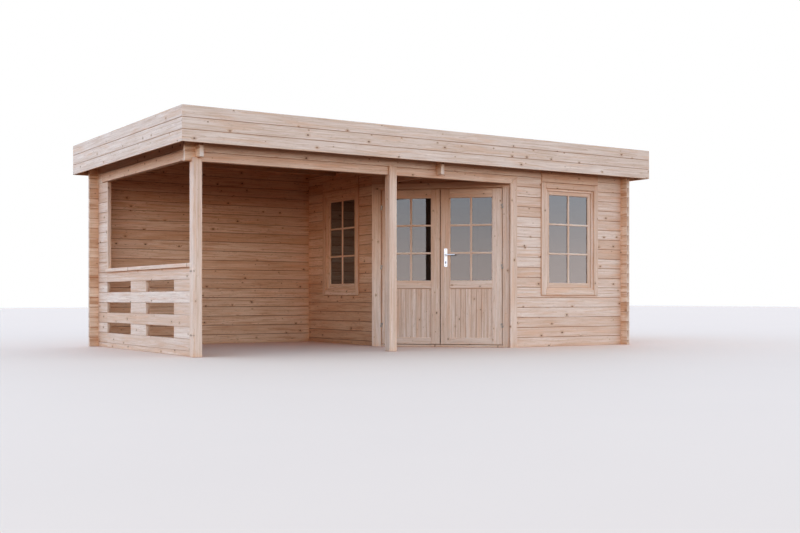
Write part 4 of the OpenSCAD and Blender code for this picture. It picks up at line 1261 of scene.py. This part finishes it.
# the pale floor shows, and warm cards at its level throw the soft bounce
floor.visible_diffuse = False
for nm, col, (ax0, ay0, ax1, ay1) in (("bounce_card_front", CARD_OUT, (cad_lo[0] - 0.8, cad_lo[1] - 2.4, cad_hi[0] + 1.6, yf)),
                                      ("bounce_card_inner", CARD_IN, (cad_lo[0] - 0.8, yf, cad_hi[0] + 1.6, cad_hi[1] + 1.5))):
    me = bpy.data.meshes.new(nm)
    me.from_pydata([(ax0, ay0, -0.001), (ax1, ay0, -0.001), (ax1, ay1, -0.001), (ax0, ay1, -0.001)], [], [(0, 1, 2, 3)])
    card = bpy.data.objects.new(nm, me)
    bpy.context.scene.collection.objects.link(card)
    m, nt = tree_of(nm + "_warm")
    g = G(nt)
    bs = g.n("ShaderNodeBsdfDiffuse")
    g.put(bs.inputs["Color"], g.mix(g.noise(g.n("ShaderNodeTexCoord").outputs["Object"], 3.0, 2.0), rgb(*col), tuple(np.array(rgb(*col)) * 0.94)))
    out = g.n("ShaderNodeOutputMaterial")
    g.link(bs.outputs[0], out.inputs[0])
    me.materials.append(m)
    card.visible_camera = False
    card.visible_glossy = False
    card.visible_shadow = False
    card.visible_transmission = False

w = bpy.data.worlds.new("studio_sky")
bpy.context.scene.world = w
w.use_nodes = True
nt = w.node_tree
for n_ in list(nt.nodes):
    nt.nodes.remove(n_)
g = G(nt)
gen = g.n("ShaderNodeTexCoord").outputs["Generated"]
gx, gy, gz = g.sep(gen)[0:3]
skyc = g.ramp(g.mapr(gz, 0.0, 1.0, 0.0, 1.0, "LINEAR"), SKY)
side_f = g.mapr(g.vmath("DOT_PRODUCT", gen, (-1.0, 0.0, 0.0)), -1.0, 1.0, 0.0, 1.0, "LINEAR")
skyc = g.mix(g.mapr(gz, 0.10, 0.45), skyc, g.mix(1.0, skyc, g.ramp(side_f, SIDE), "MULTIPLY"))
skyc = g.mix(g.mapr(gz, -0.02, 0.0, 0.0, 1.0, "LINEAR"), rgb(*BELOW), skyc)
bg = g.n("ShaderNodeBackground")
g.put(bg.inputs["Color"], skyc)
bg.inputs["Strength"].default_value = SKY_STRENGTH
bw_ = g.n("ShaderNodeBackground")
bw_.inputs["Color"].default_value = rgb(1, 1, 1)
bw_.inputs["Strength"].default_value = 1.0
lp = g.n("ShaderNodeLightPath")
mx = g.n("ShaderNodeMixShader")
g.link(lp.outputs["Is Camera Ray"], mx.inputs[0])
g.link(bg.outputs[0], mx.inputs[1])
g.link(bw_.outputs[0], mx.inputs[2])
ow = g.n("ShaderNodeOutputWorld")
g.link(mx.outputs[0], ow.inputs[0])


def area(name, loc, target, size, power, col):
    l = bpy.data.lights.new(name, "AREA")
    l.shape = "RECTANGLE"
    l.size, l.size_y = size
    l.energy = power
    l.color = col
    o = bpy.data.objects.new(name, l)
    o.location = loc
    d = Vector(target) - Vector(loc)
    o.rotation_euler = d.to_track_quat("-Z", "Y").to_euler()
    bpy.context.scene.collection.objects.link(o)
    return o


for spec in LIGHTS:
    area(*spec)

cam = bpy.data.cameras.new("camera")
co = bpy.data.objects.new("camera", cam)
co.location = (-7.194, -11.873, 0.578)
co.rotation_euler = (math.radians(90), 0, math.radians(-32.97))
cam.lens = 50.13
cam.sensor_width = 36
cam.shift_y = 0.0403
cam.clip_end = 200
bpy.context.scene.collection.objects.link(co)
bpy.context.scene.camera = co
bpy.context.scene.view_settings.view_transform = "Standard"
bpy.context.scene.view_settings.look = "None"
bpy.context.scene.view_settings.gamma = VIEW_GAMMA
